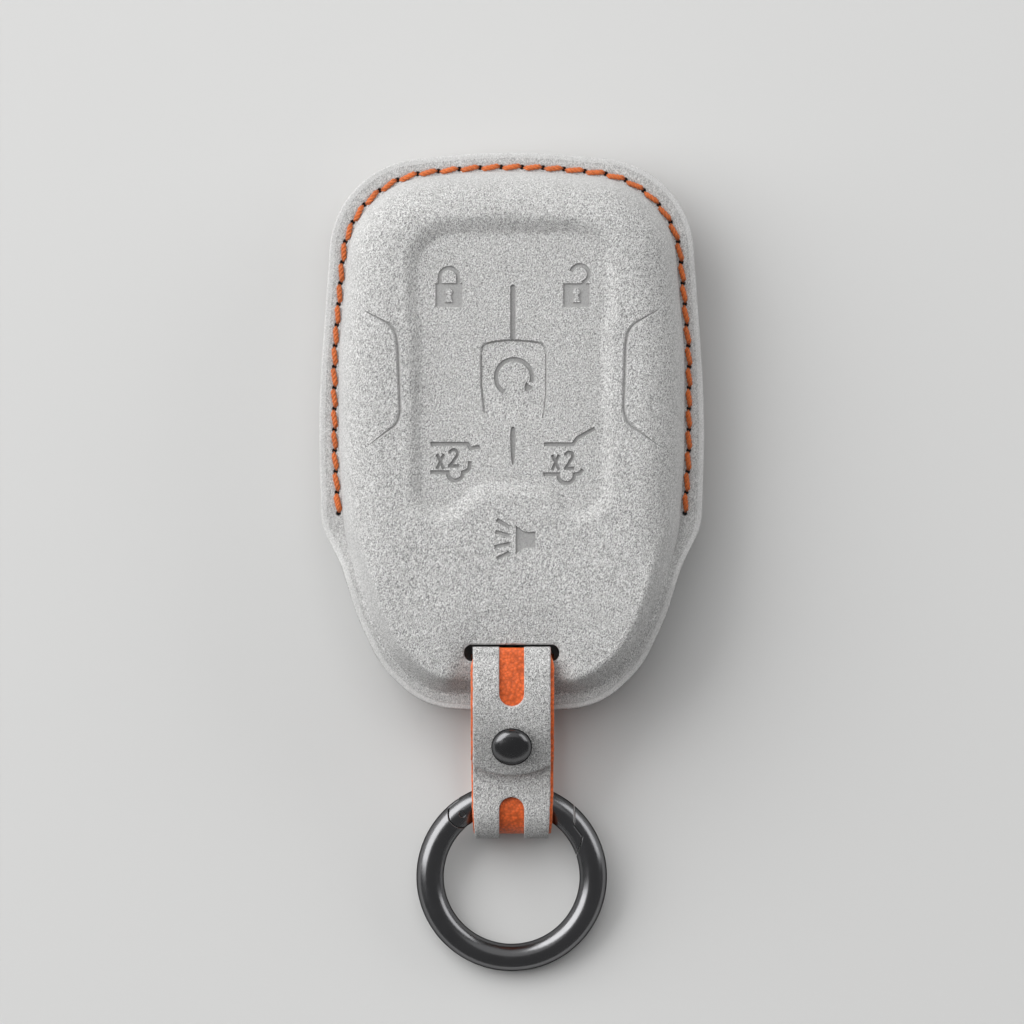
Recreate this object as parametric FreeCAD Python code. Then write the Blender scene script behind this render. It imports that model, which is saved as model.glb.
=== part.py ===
import FreeCAD, Part
import math
import os

# Key fob cover: two pressed suede halves sewn round the top, a strap through both
# halves with a ball stud, and a spring gate ring in the strap's lower loop.
# Millimetres. X is across, Y runs to the closed top end, Z is up from the back face,
# and the origin is on the back face in the middle of the cover.

Vec = FreeCAD.Vector

# Cover: overall sizes and the leather that it is pressed from
cover_width = 60.4
cover_length = 87.8
cover_thickness = 19.6
front_height = 10.4
suede_thickness = 1.0
core_thickness = 0.6
lining_thickness = 0.6
seam_flange = 3.55
rim_flange = 2.3

# Cover: corner radii of the outline, from the bottom centre to the top centre
bottom_bow = 60.0
bottom_corner = 13.0
lower_corner = 16.0
lower_bow = 35.0
jog_hollow = 14.0
jog_round = 9.0
side_bow = 170.0
top_corner = 15.0
top_bow = 100.0
hip_radius = 25.0

# Cover: the domed faces and their fall towards the mouth
front_shoulder = 7.0
rear_shoulder = 5.5
front_roll_run = 15.6
rear_roll_run = 17.6
roll_radius = 30.0

# Cover: the open mouth round the lower rim
mouth_gap = 4.8
mouth_length = 28.9
mouth_ramp = 8.0
mouth_bend = 10.0

# Front: the sunk button panel, with its dividers and centre tile set out from the panel's top
panel_width = 32.4
panel_from_top = 10.3
panel_length = 46.8
panel_depth = 1.0
panel_wall_run = 2.0
panel_corner = 4.4
mound_corner = 4.4
mound_side_run = 7.1
mound_rise = 4.2
mound_slant = 3.9
divider_width = 0.8
divider_depth = 0.35
upper_divider_drop = 10.4
upper_divider_length = 8.6
lower_divider_drop = 32.2
lower_divider_length = 6.6
tile_top_width = 10.4
tile_bottom_width = 8.6
tile_drop = 19.2
tile_length = 11.8
tile_corner = 1.3
tile_depth = 0.3

# Seam: lockstitch of thick thread round the closed part of the flange
stitch_inset = 2.6
stitch_pitch = 3.3
stitch_gap = 0.45
thread_radius = 0.6
stitch_above_mouth = 2.6

# Strap: suede outside, coloured liner inside
strap_width = 12.3
liner_overhang = 0.45
strap_suede_thickness = 0.75
strap_liner_thickness = 0.75
strap_overhang = 19.75
strap_lift = 0.2
strap_bend = 2.4
slot_from_bottom = 10.5
slot_width = 14.9
slot_corner = 1.2
slot_clearance = 0.55
tongue_to_fold = 10.35
tongue_slope = 33.0
tongue_arc = 16.0
tongue_end_radius = 10.5
return_slope = 8.0
return_bend = 4.0
inner_end_wrap = 20.0
layer_gap = 0.1
cutout_width = 3.9
upper_cutout_end = 9.4
lower_cutout_start = 6.65

# Stud: flattened ball on a neck, held by a screw through the strap's inner end
stud_from_tip = 6.75
ball_diameter = 6.4
ball_height = 4.0
ball_rim = 1.4
neck_diameter = 3.0
neck_clearance = 0.2
ball_clearance = 0.15
screw_diameter = 1.8
screw_length = 3.6
screw_head_diameter = 6.2
screw_head_thickness = 1.0
screw_slot_width = 0.7
screw_slot_depth = 0.4
seat_clearance = 0.1
buttonhole_slit = 4.2
slit_width = 0.3

# Ring: round wire with a sprung gate in its upper arc
ring_bore = 21.3
wire_diameter = 4.3
loop_clearance = 0.73
gate_pin_angle = 127.0
gate_latch_angle = 41.0
gate_lap_angle = 31.0
gate_end_angle = 12.0
gate_clearance = 0.15
knuckle_angle = 22.0
knuckle_tang = 1.5
pin_diameter = 1.0
pin_clearance = 0.04
pin_recess = 0.15
spring_diameter = 1.6
spring_wall = 0.3
spring_length = 4.6

# One overrun serves every cut that has to pass through a face
overrun = 1.0

# Points closer than this are one point
tolerance = 1e-6

# Outline corners of the right half from the bottom centre to the top centre,
# as shares of half the cover's width and half its length
outline_shares = [
    (0.0, -1.001),
    (0.460, -0.982),
    (0.682, -0.834),
    (0.801, -0.661),
    (0.884, -0.478),
    (0.985, -0.333),
    (1.004, 0.068),
    (0.914, 0.948),
    (0.0, 1.009),
]
outline_radii = [
    bottom_bow,
    bottom_corner,
    lower_corner,
    lower_bow,
    jog_hollow,
    jog_round,
    side_bow,
    top_corner,
    top_bow,
]

# Foot of the domes in the same order, as shares of the width and length inside the flange
dome_shares = [
    (0.0, -1.0),
    (0.469, -0.986),
    (0.713, -0.865),
    (0.859, -0.680),
    (0.983, -0.373),
    (1.004, 0.074),
    (0.912, 0.942),
    (0.0, 1.010),
]
dome_radii = [
    bottom_bow,
    bottom_corner - rim_flange,
    lower_corner - rim_flange,
    lower_bow - rim_flange,
    hip_radius,
    side_bow,
    top_corner - seam_flange,
    top_bow,
]

# Levels and half sizes that follow from the sizes above
half_width = cover_width / 2
half_length = cover_length / 2
seam_z = cover_thickness - front_height
rear_height = seam_z
flange_thickness = suede_thickness + lining_thickness
shell_thickness = suede_thickness + core_thickness + lining_thickness
dome_half_width = half_width - seam_flange
dome_top = half_length - seam_flange
dome_bottom = half_length - rim_flange
front_roll_start = front_roll_run - dome_bottom
rear_roll_start = rear_roll_run - dome_bottom
mouth_top = mouth_length - half_length
stitch_end = mouth_top + stitch_above_mouth

panel_top = half_length - panel_from_top
panel_bottom = panel_top - panel_length
mound_top = panel_bottom + mound_rise
mound_width = panel_width - 2 * mound_side_run
tile_top = panel_top - tile_drop

strap_thickness = strap_suede_thickness + strap_liner_thickness
liner_half = strap_width / 2 + liner_overhang
slot_edge = -half_length + slot_from_bottom
slot_height = strap_thickness + 2 * slot_clearance

wire_radius = wire_diameter / 2
ring_inner = ring_bore / 2
ring_outer = ring_inner + wire_diameter
ring_centre_radius = ring_inner + wire_radius
ring_edge_in_loop = math.sqrt(ring_inner**2 - liner_half**2)
ring_reach = (ring_outer + ring_edge_in_loop) / 2
fold_inner = (ring_outer - ring_edge_in_loop) / 2 + loop_clearance
fold_radius = fold_inner + strap_liner_thickness
fold_tip = -half_length - strap_overhang
fold_y = fold_tip + fold_inner + strap_thickness
fold_z = strap_thickness + fold_inner
ring_tilt = math.degrees(math.asin((fold_z - wire_radius) / (ring_reach + ring_centre_radius)))


def unit(a, b):
    """Direction from plane point a to plane point b."""
    length = math.hypot(b[0] - a[0], b[1] - a[1])
    return ((b[0] - a[0]) / length, (b[1] - a[1]) / length)


def left_of(direction):
    return (-direction[1], direction[0])


def along(point, direction, length):
    return (point[0] + direction[0] * length, point[1] + direction[1] * length)


def heading(degrees):
    return (math.cos(math.radians(degrees)), math.sin(math.radians(degrees)))


def line(a, b):
    return Part.LineSegment(a, b).toShape()


def turn_at(points, i):
    """Signed angle by which a route turns at one of its points."""
    before = unit(points[i - 1], points[i])
    after = unit(points[i], points[(i + 1) % len(points)])
    cross = before[0] * after[1] - before[1] * after[0]
    return math.atan2(cross, before[0] * after[0] + before[1] * after[1])


def fitted(points, radii, corners):
    """Corner radii, limited where two corners would overrun the run between them."""
    count = len(points)
    reach = [0] * count
    for i in corners:
        reach[i] = radii[i] * math.tan(abs(turn_at(points, i)) / 2)
    limited = list(radii)
    for i in corners:
        for a, b in ((i - 1, i), (i, (i + 1) % count)):
            run = math.dist(points[a], points[b])
            limited[i] = min(limited[i], radii[i] * run / max(run, reach[a] + reach[b]))
    return limited


def rounded(points, radii, shift, closed, place):
    """Edges of a route with rounded corners, moved to its left by shift.

    place turns a plane point into a point in space.
    """
    count = len(points)
    corners = range(count) if closed else range(1, count - 1)
    limited = fitted(points, radii, corners)
    stops = []
    for i in corners:
        before = unit(points[i - 1], points[i])
        after = unit(points[i], points[(i + 1) % count])
        turn = turn_at(points, i)
        bend = math.copysign(limited[i], turn)
        start = along(points[i], before, -limited[i] * math.tan(abs(turn) / 2))
        centre = along(start, left_of(before), bend)
        middle = unit((0, 0), (before[0] + after[0], before[1] + after[1]))
        spokes = [left_of(before), left_of(middle), left_of(after)]
        stops.append([along(centre, s, shift - bend) for s in spokes])
    if not closed:
        first = along(points[0], left_of(unit(points[0], points[1])), shift)
        last = along(points[-1], left_of(unit(points[-2], points[-1])), shift)
        stops = [[first]] + stops + [[last]]
    edges = []
    for i, stop in enumerate(stops):
        if len(stop) > 1:
            edges.append(Part.Arc(*[place(*p) for p in stop]).toShape())
        if closed or i + 1 < len(stops):
            a = place(*stop[-1])
            b = place(*stops[(i + 1) % len(stops)][0])
            if not a.isEqual(b, tolerance):
                edges.append(line(a, b))
    return edges


def at_height(z):
    def place(x, y):
        return Vec(x, y, z)

    return place


def at_side(x):
    def place(y, z):
        return Vec(x, y, z)

    return place


def face_of(edges):
    return Part.Face(Part.Wire(Part.__sortEdges__(edges)))


def prism(edges, rise):
    return face_of(edges).extrude(Vec(0, 0, rise))


def strip(points, radii, low, high, half_span):
    """A sheet bent along a route in the YZ plane, between two depths to the left of the route."""
    place = at_side(-half_span)
    lower = rounded(points, radii, low, False, place)
    upper = rounded(points, radii, high, False, place)
    start = line(lower[0].Vertexes[0].Point, upper[0].Vertexes[0].Point)
    end = line(lower[-1].Vertexes[-1].Point, upper[-1].Vertexes[-1].Point)
    return face_of(lower + upper + [start, end]).extrude(Vec(2 * half_span, 0, 0))


def mirrored(points, radii):
    """Both halves of an outline whose right half runs from the bottom centre to the top centre."""
    left_points = [(-x, y) for x, y in points[-2:0:-1]]
    return points + left_points, radii + radii[-2:0:-1]


outline_right = [(x * half_width, y * half_length) for x, y in outline_shares]
outline_points, outline_corners = mirrored(outline_right, outline_radii)
dome_right = [
    (x * dome_half_width, y * (dome_top if y > 0 else dome_bottom)) for x, y in dome_shares
]
dome_points, dome_corners = mirrored(dome_right, dome_radii)

# Place in the outline of the corner halfway up the side, where the seam's path starts
side_corner = len(outline_radii) - 3

# The parting line of one half: flat in the seam, then lifted round the mouth
parting_points = [
    (-cover_length, mouth_gap / 2),
    (mouth_top - mouth_ramp, mouth_gap / 2),
    (mouth_top, 0),
    (cover_length, 0),
]
parting_radii = [0, mouth_bend, mouth_bend, 0]


def over_parting(lift):
    """Everything above the parting line raised by lift."""
    place = at_side(-cover_width)
    floor = rounded(parting_points, parting_radii, lift, False, place)
    start = floor[0].Vertexes[0].Point
    end = floor[-1].Vertexes[-1].Point
    start_top = Vec(start.x, start.y, cover_thickness)
    end_top = Vec(end.x, end.y, cover_thickness)
    walls = [line(start, start_top), line(start_top, end_top), line(end_top, end)]
    return face_of(floor + walls).extrude(Vec(2 * cover_width, 0, 0))


def flange(low, high):
    """The flat rim of one half between two levels over the parting line."""
    sheet = strip(parting_points, parting_radii, low, high, cover_width)
    plan = rounded(outline_points, outline_corners, 0, True, at_height(-cover_thickness))
    return sheet.common(prism(plan, 2 * cover_thickness))


def crown(height, roll_start, inset):
    """Block under a flat face that falls away in an arc towards the mouth."""
    top = height - inset
    radius = roll_radius - inset
    place = at_side(-cover_width)
    arc = []
    for degrees in (90, 120, 150):
        spoke = heading(degrees)
        arc.append(place(roll_start + radius * spoke[0], top - radius + radius * spoke[1]))
    foot = Vec(arc[2].x, arc[2].y, -height)
    corners = [arc[2], foot, place(cover_length, -height), place(cover_length, top)]
    edges = [line(a, b) for a, b in zip(corners, corners[1:])]
    edges += [line(corners[-1], arc[0]), Part.Arc(*arc).toShape()]
    return face_of(edges).extrude(Vec(2 * cover_width, 0, 0))


def rim_edges(solid):
    """Edges that bound the upward faces of a solid as a whole."""
    upward = []
    for face in solid.Faces:
        u0, u1, v0, v1 = face.ParameterRange
        if face.normalAt((u0 + u1) / 2, (v0 + v1) / 2).z > math.cos(math.radians(60)):
            upward.append(face)
    edges = [edge for face in upward for edge in face.Edges]
    return [e for e in edges if sum(e.isSame(other) for other in edges) == 1]


def dome(height, shoulder, roll_start, inset):
    """One half's domed block with rounded shoulders, shrunk on all sides by inset."""
    plan = rounded(dome_points, dome_corners, inset, True, at_height(-height))
    block = prism(plan, 2 * height).common(crown(height, roll_start, inset))
    return block.makeFillet(shoulder - inset, rim_edges(block))


def panel_outline(shift, z):
    """The button panel's edge, with the mound that rises into its lower side."""
    half = panel_width / 2
    foot = mound_width / 2
    right = [
        (foot - mound_slant, mound_top),
        (foot, panel_bottom),
        (half, panel_bottom),
        (half, panel_top),
    ]
    radii = [mound_corner, mound_corner, panel_corner, panel_corner]
    points = right + [(-x, y) for x, y in reversed(right)]
    return rounded(points, radii + radii[::-1], shift, True, at_height(z))


def panel_sink(height, inset):
    """Sloped-walled hollow that sinks the button panel below the front face."""
    floor_z = height - inset - panel_depth
    rise_share = 0.5
    top_z = height - inset + rise_share * panel_depth
    spread = inset + rise_share * panel_wall_run
    floor = Part.Wire(Part.__sortEdges__(panel_outline(panel_wall_run - inset, floor_z)))
    top = Part.Wire(Part.__sortEdges__(panel_outline(-spread, top_z)))
    return Part.makeLoft([floor, top], True, True)


def slot_cut(height):
    """The strap's slot through one half."""
    half = slot_width / 2
    low = slot_edge - slot_height
    points = [(-half, low), (half, low), (half, slot_edge), (-half, slot_edge)]
    return prism(rounded(points, [slot_corner] * 4, 0, True, at_height(0)), height + overrun)


def half_shell(height, shoulder, roll_start, has_panel):
    """Suede, core and lining of one half, with the seam plane at zero."""
    depths = [0, suede_thickness, suede_thickness + core_thickness, shell_thickness]
    domes = []
    for depth in depths:
        body = dome(height, shoulder, roll_start, depth)
        domes.append(body.cut(panel_sink(height, depth)) if has_panel else body)
    skin, under_suede, under_core, hollow = domes
    raised = over_parting(lining_thickness)
    slot = slot_cut(height)
    suede = skin.common(raised).fuse(flange(lining_thickness, flange_thickness))
    suede = suede.cut(under_suede).cut(slot).removeSplitter()
    core = under_suede.common(raised).cut(under_core).cut(slot).removeSplitter()
    lining = under_core.common(over_parting(0)).fuse(flange(0, lining_thickness))
    lining = lining.cut(hollow).cut(slot).removeSplitter()
    return suede, core, lining


def tile_outline(z):
    top = tile_top_width / 2
    bottom = tile_bottom_width / 2
    low = tile_top - tile_length
    points = [(-bottom, low), (bottom, low), (top, tile_top), (-top, tile_top)]
    return rounded(points, [tile_corner] * 4, 0, True, at_height(z))


def panel_marks(height):
    """Divider grooves and the shallow centre tile in the panel floor."""
    floor_z = height - panel_depth
    dividers = [
        (upper_divider_drop, upper_divider_length),
        (lower_divider_drop, lower_divider_length),
    ]
    cuts = [prism(tile_outline(floor_z - tile_depth), panel_depth)]
    for drop, length in dividers:
        corner = Vec(-divider_width / 2, panel_top - drop - length, floor_z - divider_depth)
        cuts.append(Part.makeBox(divider_width, length, panel_depth, corner))
    return Part.makeCompound(cuts)


def cover_shells():
    front = half_shell(front_height, front_shoulder, front_roll_start, True)
    front = [front[0].cut(panel_marks(front_height)), front[1], front[2]]
    rear = half_shell(rear_height, rear_shoulder, rear_roll_start, False)
    rear = [shape.mirror(Vec(0, 0, 0), Vec(0, 0, 1)) for shape in rear]
    names = ["suede", "core", "lining"]
    shells = {}
    for side, shapes in (("front", front), ("rear", rear)):
        for name, shape in zip(names, shapes):
            shape.translate(Vec(0, 0, seam_z))
            shells[side + "_" + name] = shape
    return shells


def stitch():
    """Half round stitch that lies along X on a flat face."""
    length = stitch_pitch - stitch_gap - 2 * thread_radius
    start = Vec(-length / 2, 0, 0)
    end = Vec(length / 2, 0, 0)
    rod = Part.makeCylinder(thread_radius, length, start, Vec(1, 0, 0))
    rod = rod.fuse([Part.makeSphere(thread_radius, start), Part.makeSphere(thread_radius, end)])
    size = 2 * stitch_pitch
    upper = Part.makeBox(size, size, size, Vec(-size / 2, -size / 2, 0))
    return rod.common(upper).removeSplitter()


def thread(z, flip):
    """Stitches round the closed part of the flange, from the right side over the top to the left."""
    side = outline_right[side_corner]
    hip = outline_right[side_corner - 1]
    share = (side[1] - stitch_end) / (side[1] - hip[1])
    start = (side[0] + (hip[0] - side[0]) * share, stitch_end)
    right = [start] + outline_right[side_corner:]
    radii = [0] + outline_radii[side_corner:]
    points = right + [(-x, y) for x, y in right[-2::-1]]
    corners = radii + radii[-2::-1]
    path = Part.Wire(rounded(points, corners, stitch_inset, False, at_height(z)))
    count = round(path.Length / stitch_pitch)
    holes = path.discretize(Number=count + 1)
    pattern = stitch()
    if flip:
        pattern = pattern.mirror(Vec(0, 0, 0), Vec(0, 0, 1))
    stitches = []
    for a, b in zip(holes, holes[1:]):
        copy = pattern.copy()
        copy.rotate(Vec(0, 0, 0), Vec(0, 0, 1), math.degrees(math.atan2(b.y - a.y, b.x - a.x)))
        copy.translate((a + b) / 2)
        stitches.append(copy)
    return Part.makeCompound(stitches)


# Strap routes in the YZ plane, on the face between suede and liner
run_z = cover_thickness + strap_lift - strap_suede_thickness
rise_y = slot_edge - slot_clearance - strap_suede_thickness
hinge_y = rise_y - strap_bend
back_z = strap_suede_thickness
far_y = fold_y - fold_radius
tip_y = fold_tip + tongue_to_fold
return_way = heading(return_slope)
tongue_way = heading(tongue_slope)
layer_step = strap_thickness + layer_gap
return_start = along((fold_y, fold_z), left_of(return_way), fold_radius)


def on_return(y):
    return (y, return_start[1] + (y - return_start[0]) * math.tan(math.radians(return_slope)))


inner_foot = on_return(tip_y)
tongue_foot = along(inner_foot, left_of(tongue_way), layer_step)
tongue_rise = math.tan(math.radians(tongue_slope))
tongue_tip = (tip_y, tongue_foot[1] + (tip_y - tongue_foot[0]) * tongue_rise)
tongue_corner = (tip_y + (run_z - tongue_tip[1]) / tongue_rise, run_z)
tongue_route = [tongue_tip, tongue_corner, (hinge_y, run_z)]
tongue_bends = [0, tongue_arc, 0]

inner_arc = tongue_arc - layer_step
arc_start = along(tongue_corner, tongue_way, -tongue_arc * math.tan(math.radians(tongue_slope) / 2))
inner_start = along(arc_start, left_of(tongue_way), -layer_step)
inner_tangent = inner_arc * math.tan(math.radians(inner_end_wrap) / 2)
inner_corner = along(inner_start, tongue_way, inner_tangent)
inner_end = along(inner_corner, heading(tongue_slope - inner_end_wrap), inner_tangent)
strap_route = [
    (hinge_y, run_z),
    (rise_y, run_z),
    (rise_y, back_z),
    (far_y, back_z),
    on_return(far_y),
    inner_foot,
    inner_corner,
    inner_end,
]
strap_bends = [0, strap_bend, strap_bend, fold_radius, fold_radius, return_bend, inner_arc, 0]

# Stud place: where its neck stands on the strap's inner end
stud_on_tongue = along(tongue_tip, tongue_way, stud_from_tip)
stud_foot = along(stud_on_tongue, left_of(tongue_way), strap_suede_thickness - layer_step)


def on_stud(shape):
    """Stand a shape made along Z at the origin on the strap's slope at the stud."""
    shape.rotate(Vec(0, 0, 0), Vec(1, 0, 0), tongue_slope)
    shape.translate(Vec(0, stud_foot[0], stud_foot[1]))
    return shape


def tongue_plan(half, tip):
    """Plan of the tongue with its bowed end."""
    bow = tongue_end_radius - math.sqrt(tongue_end_radius**2 - half**2)
    place = at_height(0)
    left_low, right_low = place(-half, tip + bow), place(half, tip + bow)
    left_top, right_top = place(-half, hinge_y), place(half, hinge_y)
    bow_arc = Part.Arc(left_low, place(0, tip), right_low).toShape()
    edges = [bow_arc, line(right_low, right_top), line(right_top, left_top), line(left_top, left_low)]
    return prism(edges, 2 * cover_thickness)


def cutout(start, end):
    """Round ended opening in the strap's suede, seen from above."""
    half = cutout_width / 2
    points = [(-half, end), (half, end), (half, start), (-half, start)]
    return prism(rounded(points, [half] * len(points), 0, True, at_height(0)), 2 * cover_thickness)


def buttonhole():
    """Neck hole and slit through the tongue."""
    reach = 2 * strap_thickness
    hole = Part.makeCylinder(neck_diameter / 2 + neck_clearance, 2 * reach, Vec(0, 0, -reach))
    slit_corner = Vec(-slit_width / 2, -buttonhole_slit, -reach)
    slit = Part.makeBox(slit_width, buttonhole_slit, 2 * reach, slit_corner)
    return on_stud(hole.fuse(slit))


def screw_hole():
    """Hole for the stud's screw through the strap's inner end."""
    start = Vec(0, 0, -strap_thickness - overrun)
    return on_stud(Part.makeCylinder(screw_diameter / 2, strap_thickness + 2 * overrun, start))


def head_seat():
    """Dent in the liner for the screw's head, where the strap starts to bend."""
    start = Vec(0, 0, -strap_thickness - screw_head_thickness)
    radius = screw_head_diameter / 2 + seat_clearance
    return on_stud(Part.makeCylinder(radius, screw_head_thickness, start))


def strap_parts():
    suede_half = strap_width / 2
    upper = cutout(slot_edge + slot_height, slot_edge - upper_cutout_end)
    lower = cutout(fold_tip + lower_cutout_start, fold_tip - cutout_width)
    hole = buttonhole()
    suede = strip(strap_route, strap_bends, 0, strap_suede_thickness, suede_half)
    seam_corner = Vec(-half_width, -cover_length, seam_z)
    above_seam = Part.makeBox(cover_width, cover_length, cover_thickness, seam_corner)
    suede = suede.cut(upper.common(above_seam)).cut(lower).cut(screw_hole())
    liner = strip(strap_route, strap_bends, -strap_liner_thickness, 0, liner_half)
    liner = liner.cut(screw_hole()).cut(head_seat())
    tongue_suede = strip(tongue_route, tongue_bends, 0, strap_suede_thickness, suede_half)
    tongue_suede = tongue_suede.common(tongue_plan(suede_half, tip_y)).cut(upper).cut(hole)
    tongue_liner = strip(tongue_route, tongue_bends, -strap_liner_thickness, 0, liner_half)
    tongue_liner = tongue_liner.common(tongue_plan(liner_half, tip_y)).cut(hole)
    return {
        "strap_suede": suede,
        "strap_liner": liner,
        "tongue_suede": tongue_suede,
        "tongue_liner": tongue_liner,
    }


def flat_ball(z):
    """Flattened ball on the axis at a height: two shallow caps joined by a round rim."""
    half_height = ball_height / 2
    rim_x = ball_diameter / 2 - ball_rim
    cap = (half_height**2 + rim_x**2 - ball_rim**2) / (2 * (half_height - ball_rim))
    drop = cap - half_height
    joint_angle = math.degrees(math.atan2(drop, rim_x))
    upper = []
    for degrees in (90, (90 + joint_angle) / 2, joint_angle):
        way = heading(degrees)
        upper.append(Vec(cap * way[0], 0, cap * way[1] - drop))
    lower = [Vec(p.x, 0, -p.z) for p in reversed(upper)]
    rim = [upper[-1], Vec(ball_diameter / 2, 0, 0), lower[0]]
    edges = [Part.Arc(*points).toShape() for points in (upper, rim, lower)]
    face = face_of(edges + [line(lower[-1], upper[0])])
    face.translate(Vec(0, 0, z))
    return face.revolve(Vec(0, 0, 0), Vec(0, 0, 1), 360)


def stud_parts():
    neck = neck_diameter / 2
    ball_z = layer_step + ball_clearance + ball_height / 2
    screw = screw_diameter / 2
    body = flat_ball(ball_z).fuse(Part.makeCylinder(neck, ball_z))
    body = body.cut(Part.makeCylinder(screw, screw_length))
    head = Part.makeCylinder(
        screw_head_diameter / 2, screw_head_thickness, Vec(0, 0, -strap_thickness - screw_head_thickness)
    )
    shank = Part.makeCylinder(screw, strap_thickness + screw_length, Vec(0, 0, -strap_thickness))
    slot_length = screw_head_diameter + 2 * overrun
    slot_corner_point = Vec(
        -slot_length / 2, -screw_slot_width / 2, -strap_thickness - screw_head_thickness - overrun
    )
    slot = Part.makeBox(slot_length, screw_slot_width, overrun + screw_slot_depth, slot_corner_point)
    fastener = head.fuse(shank).cut(slot)
    return {"stud_ball": on_stud(body.removeSplitter()), "stud_screw": on_stud(fastener.removeSplitter())}


def ring_arc(start, end):
    """Part of the round wire between two angles from X, in the ring's own plane."""
    arc = Part.makeTorus(ring_centre_radius, wire_radius, Vec(0, 0, 0), Vec(0, 0, 1), 0, 360, end - start)
    arc.rotate(Vec(0, 0, 0), Vec(0, 0, 1), start)
    return arc


def sector(start, end, thickness):
    """Wedge over the ring between two angles from X."""
    corners = [Vec(0, 0, -thickness / 2)]
    for degrees in (start, (start + end) / 2, end):
        way = heading(degrees)
        corners.append(Vec(2 * ring_outer * way[0], 2 * ring_outer * way[1], -thickness / 2))
    edges = [line(a, b) for a, b in zip(corners, corners[1:] + corners[:1])]
    return prism(edges, thickness)


def disc(centre, radius, thickness):
    return Part.makeCylinder(radius, thickness, centre - Vec(0, 0, thickness / 2))


def on_loop(shape):
    """Hang a shape from the ring's own plane in the strap's loop, far side resting on the ground."""
    shape.translate(Vec(0, -ring_reach, 0))
    shape.rotate(Vec(0, 0, 0), Vec(1, 0, 0), ring_tilt)
    shape.translate(Vec(0, fold_y, fold_z))
    return shape


def on_wire(degrees):
    """Place on the wire's centre line."""
    way = heading(degrees)
    return Vec(ring_centre_radius * way[0], ring_centre_radius * way[1], 0)


gate_pin_place = on_wire(gate_pin_angle)
latch_radius = gate_pin_place.distanceToPoint(on_wire(gate_latch_angle))
lap_radius = gate_pin_place.distanceToPoint(on_wire(gate_lap_angle))


def latch_reach(gap, thickness):
    """How far the gate reaches at its latch, grown by a gap: its inner half laps under the frame's end."""
    lap = disc(gate_pin_place, lap_radius + gap, thickness)
    lap = lap.common(disc(Vec(0, 0, 0), ring_centre_radius + gap, thickness))
    return disc(gate_pin_place, latch_radius + gap, thickness).fuse(lap)


def ring_parts():
    tall = 2 * wire_diameter
    knuckle = wire_radius
    tang = knuckle_tang
    pin = pin_diameter / 2
    slot_thickness = tang + 2 * gate_clearance

    # Gate: arc from the lapped latch to the knuckle, with a fork for the frame's tang
    reach = latch_reach(0, tall).common(sector(gate_end_angle, gate_pin_angle, tall))
    reach = reach.fuse(disc(gate_pin_place, knuckle, tall))
    gate = ring_arc(gate_end_angle, gate_pin_angle + knuckle_angle).common(reach)
    gate = gate.cut(disc(gate_pin_place, knuckle + gate_clearance, slot_thickness))
    gate = gate.cut(disc(gate_pin_place, pin, tall))
    pin_way = heading(gate_pin_angle)
    bore_way = Vec(pin_way[1], -pin_way[0], 0)
    bore_start = gate_pin_place + bore_way * (knuckle + gate_clearance)
    gate = gate.cut(Part.makeCylinder(spring_diameter / 2, spring_length, bore_start, bore_way))

    # Frame: the rest of the ring, hollowed round the knuckle, with its tang and its half of the lap
    frame = ring_arc(gate_pin_angle, 360 + gate_pin_angle - knuckle_angle)
    frame = frame.cut(disc(gate_pin_place, knuckle + gate_clearance, tall))
    frame = frame.cut(latch_reach(gate_clearance, tall).common(sector(0, gate_pin_angle, tall)))
    tail = ring_arc(gate_pin_angle - knuckle_angle, gate_pin_angle + knuckle_angle)
    tang_disc = disc(gate_pin_place, knuckle, tang)
    tang_arm = ring_arc(gate_pin_angle, gate_pin_angle + knuckle_angle)
    tang_arm = tang_arm.common(disc(gate_pin_place, ring_centre_radius, tang))
    frame = frame.fuse(tail.common(tang_disc)).fuse(tang_arm)
    frame = frame.cut(disc(gate_pin_place, pin + pin_clearance, tall))

    # Spring in the gate's bore, and the hinge pin
    sleeve = Part.makeCylinder(spring_diameter / 2, spring_length, bore_start, bore_way)
    hollow = Part.makeCylinder(spring_diameter / 2 - spring_wall, spring_length, bore_start, bore_way)
    sleeve = sleeve.cut(hollow)
    rod = disc(gate_pin_place, pin, wire_diameter - 2 * pin_recess)
    shapes = {"ring_gate": gate, "ring_frame": frame, "gate_pin": rod, "gate_spring": sleeve}
    return {name: on_loop(shape.removeSplitter()) for name, shape in shapes.items()}


def main():
    os.makedirs("parts", exist_ok=True)
    shapes = cover_shells()
    shapes["needle_thread"] = thread(seam_z + flange_thickness, False)
    shapes["bobbin_thread"] = thread(seam_z - flange_thickness, True)
    shapes.update(strap_parts())
    shapes.update(stud_parts())
    shapes.update(ring_parts())
    for name, shape in shapes.items():
        shape.exportStep("parts/" + name + ".step")
        print(name, len(shape.Solids), round(shape.Volume, 2), shape.isValid())


if __name__ == "__main__":
    main()
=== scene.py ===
import math

import bmesh
import bpy
import numpy as np
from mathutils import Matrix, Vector
from mathutils.geometry import delaunay_2d_cdt
from numpy.linalg import norm


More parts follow.
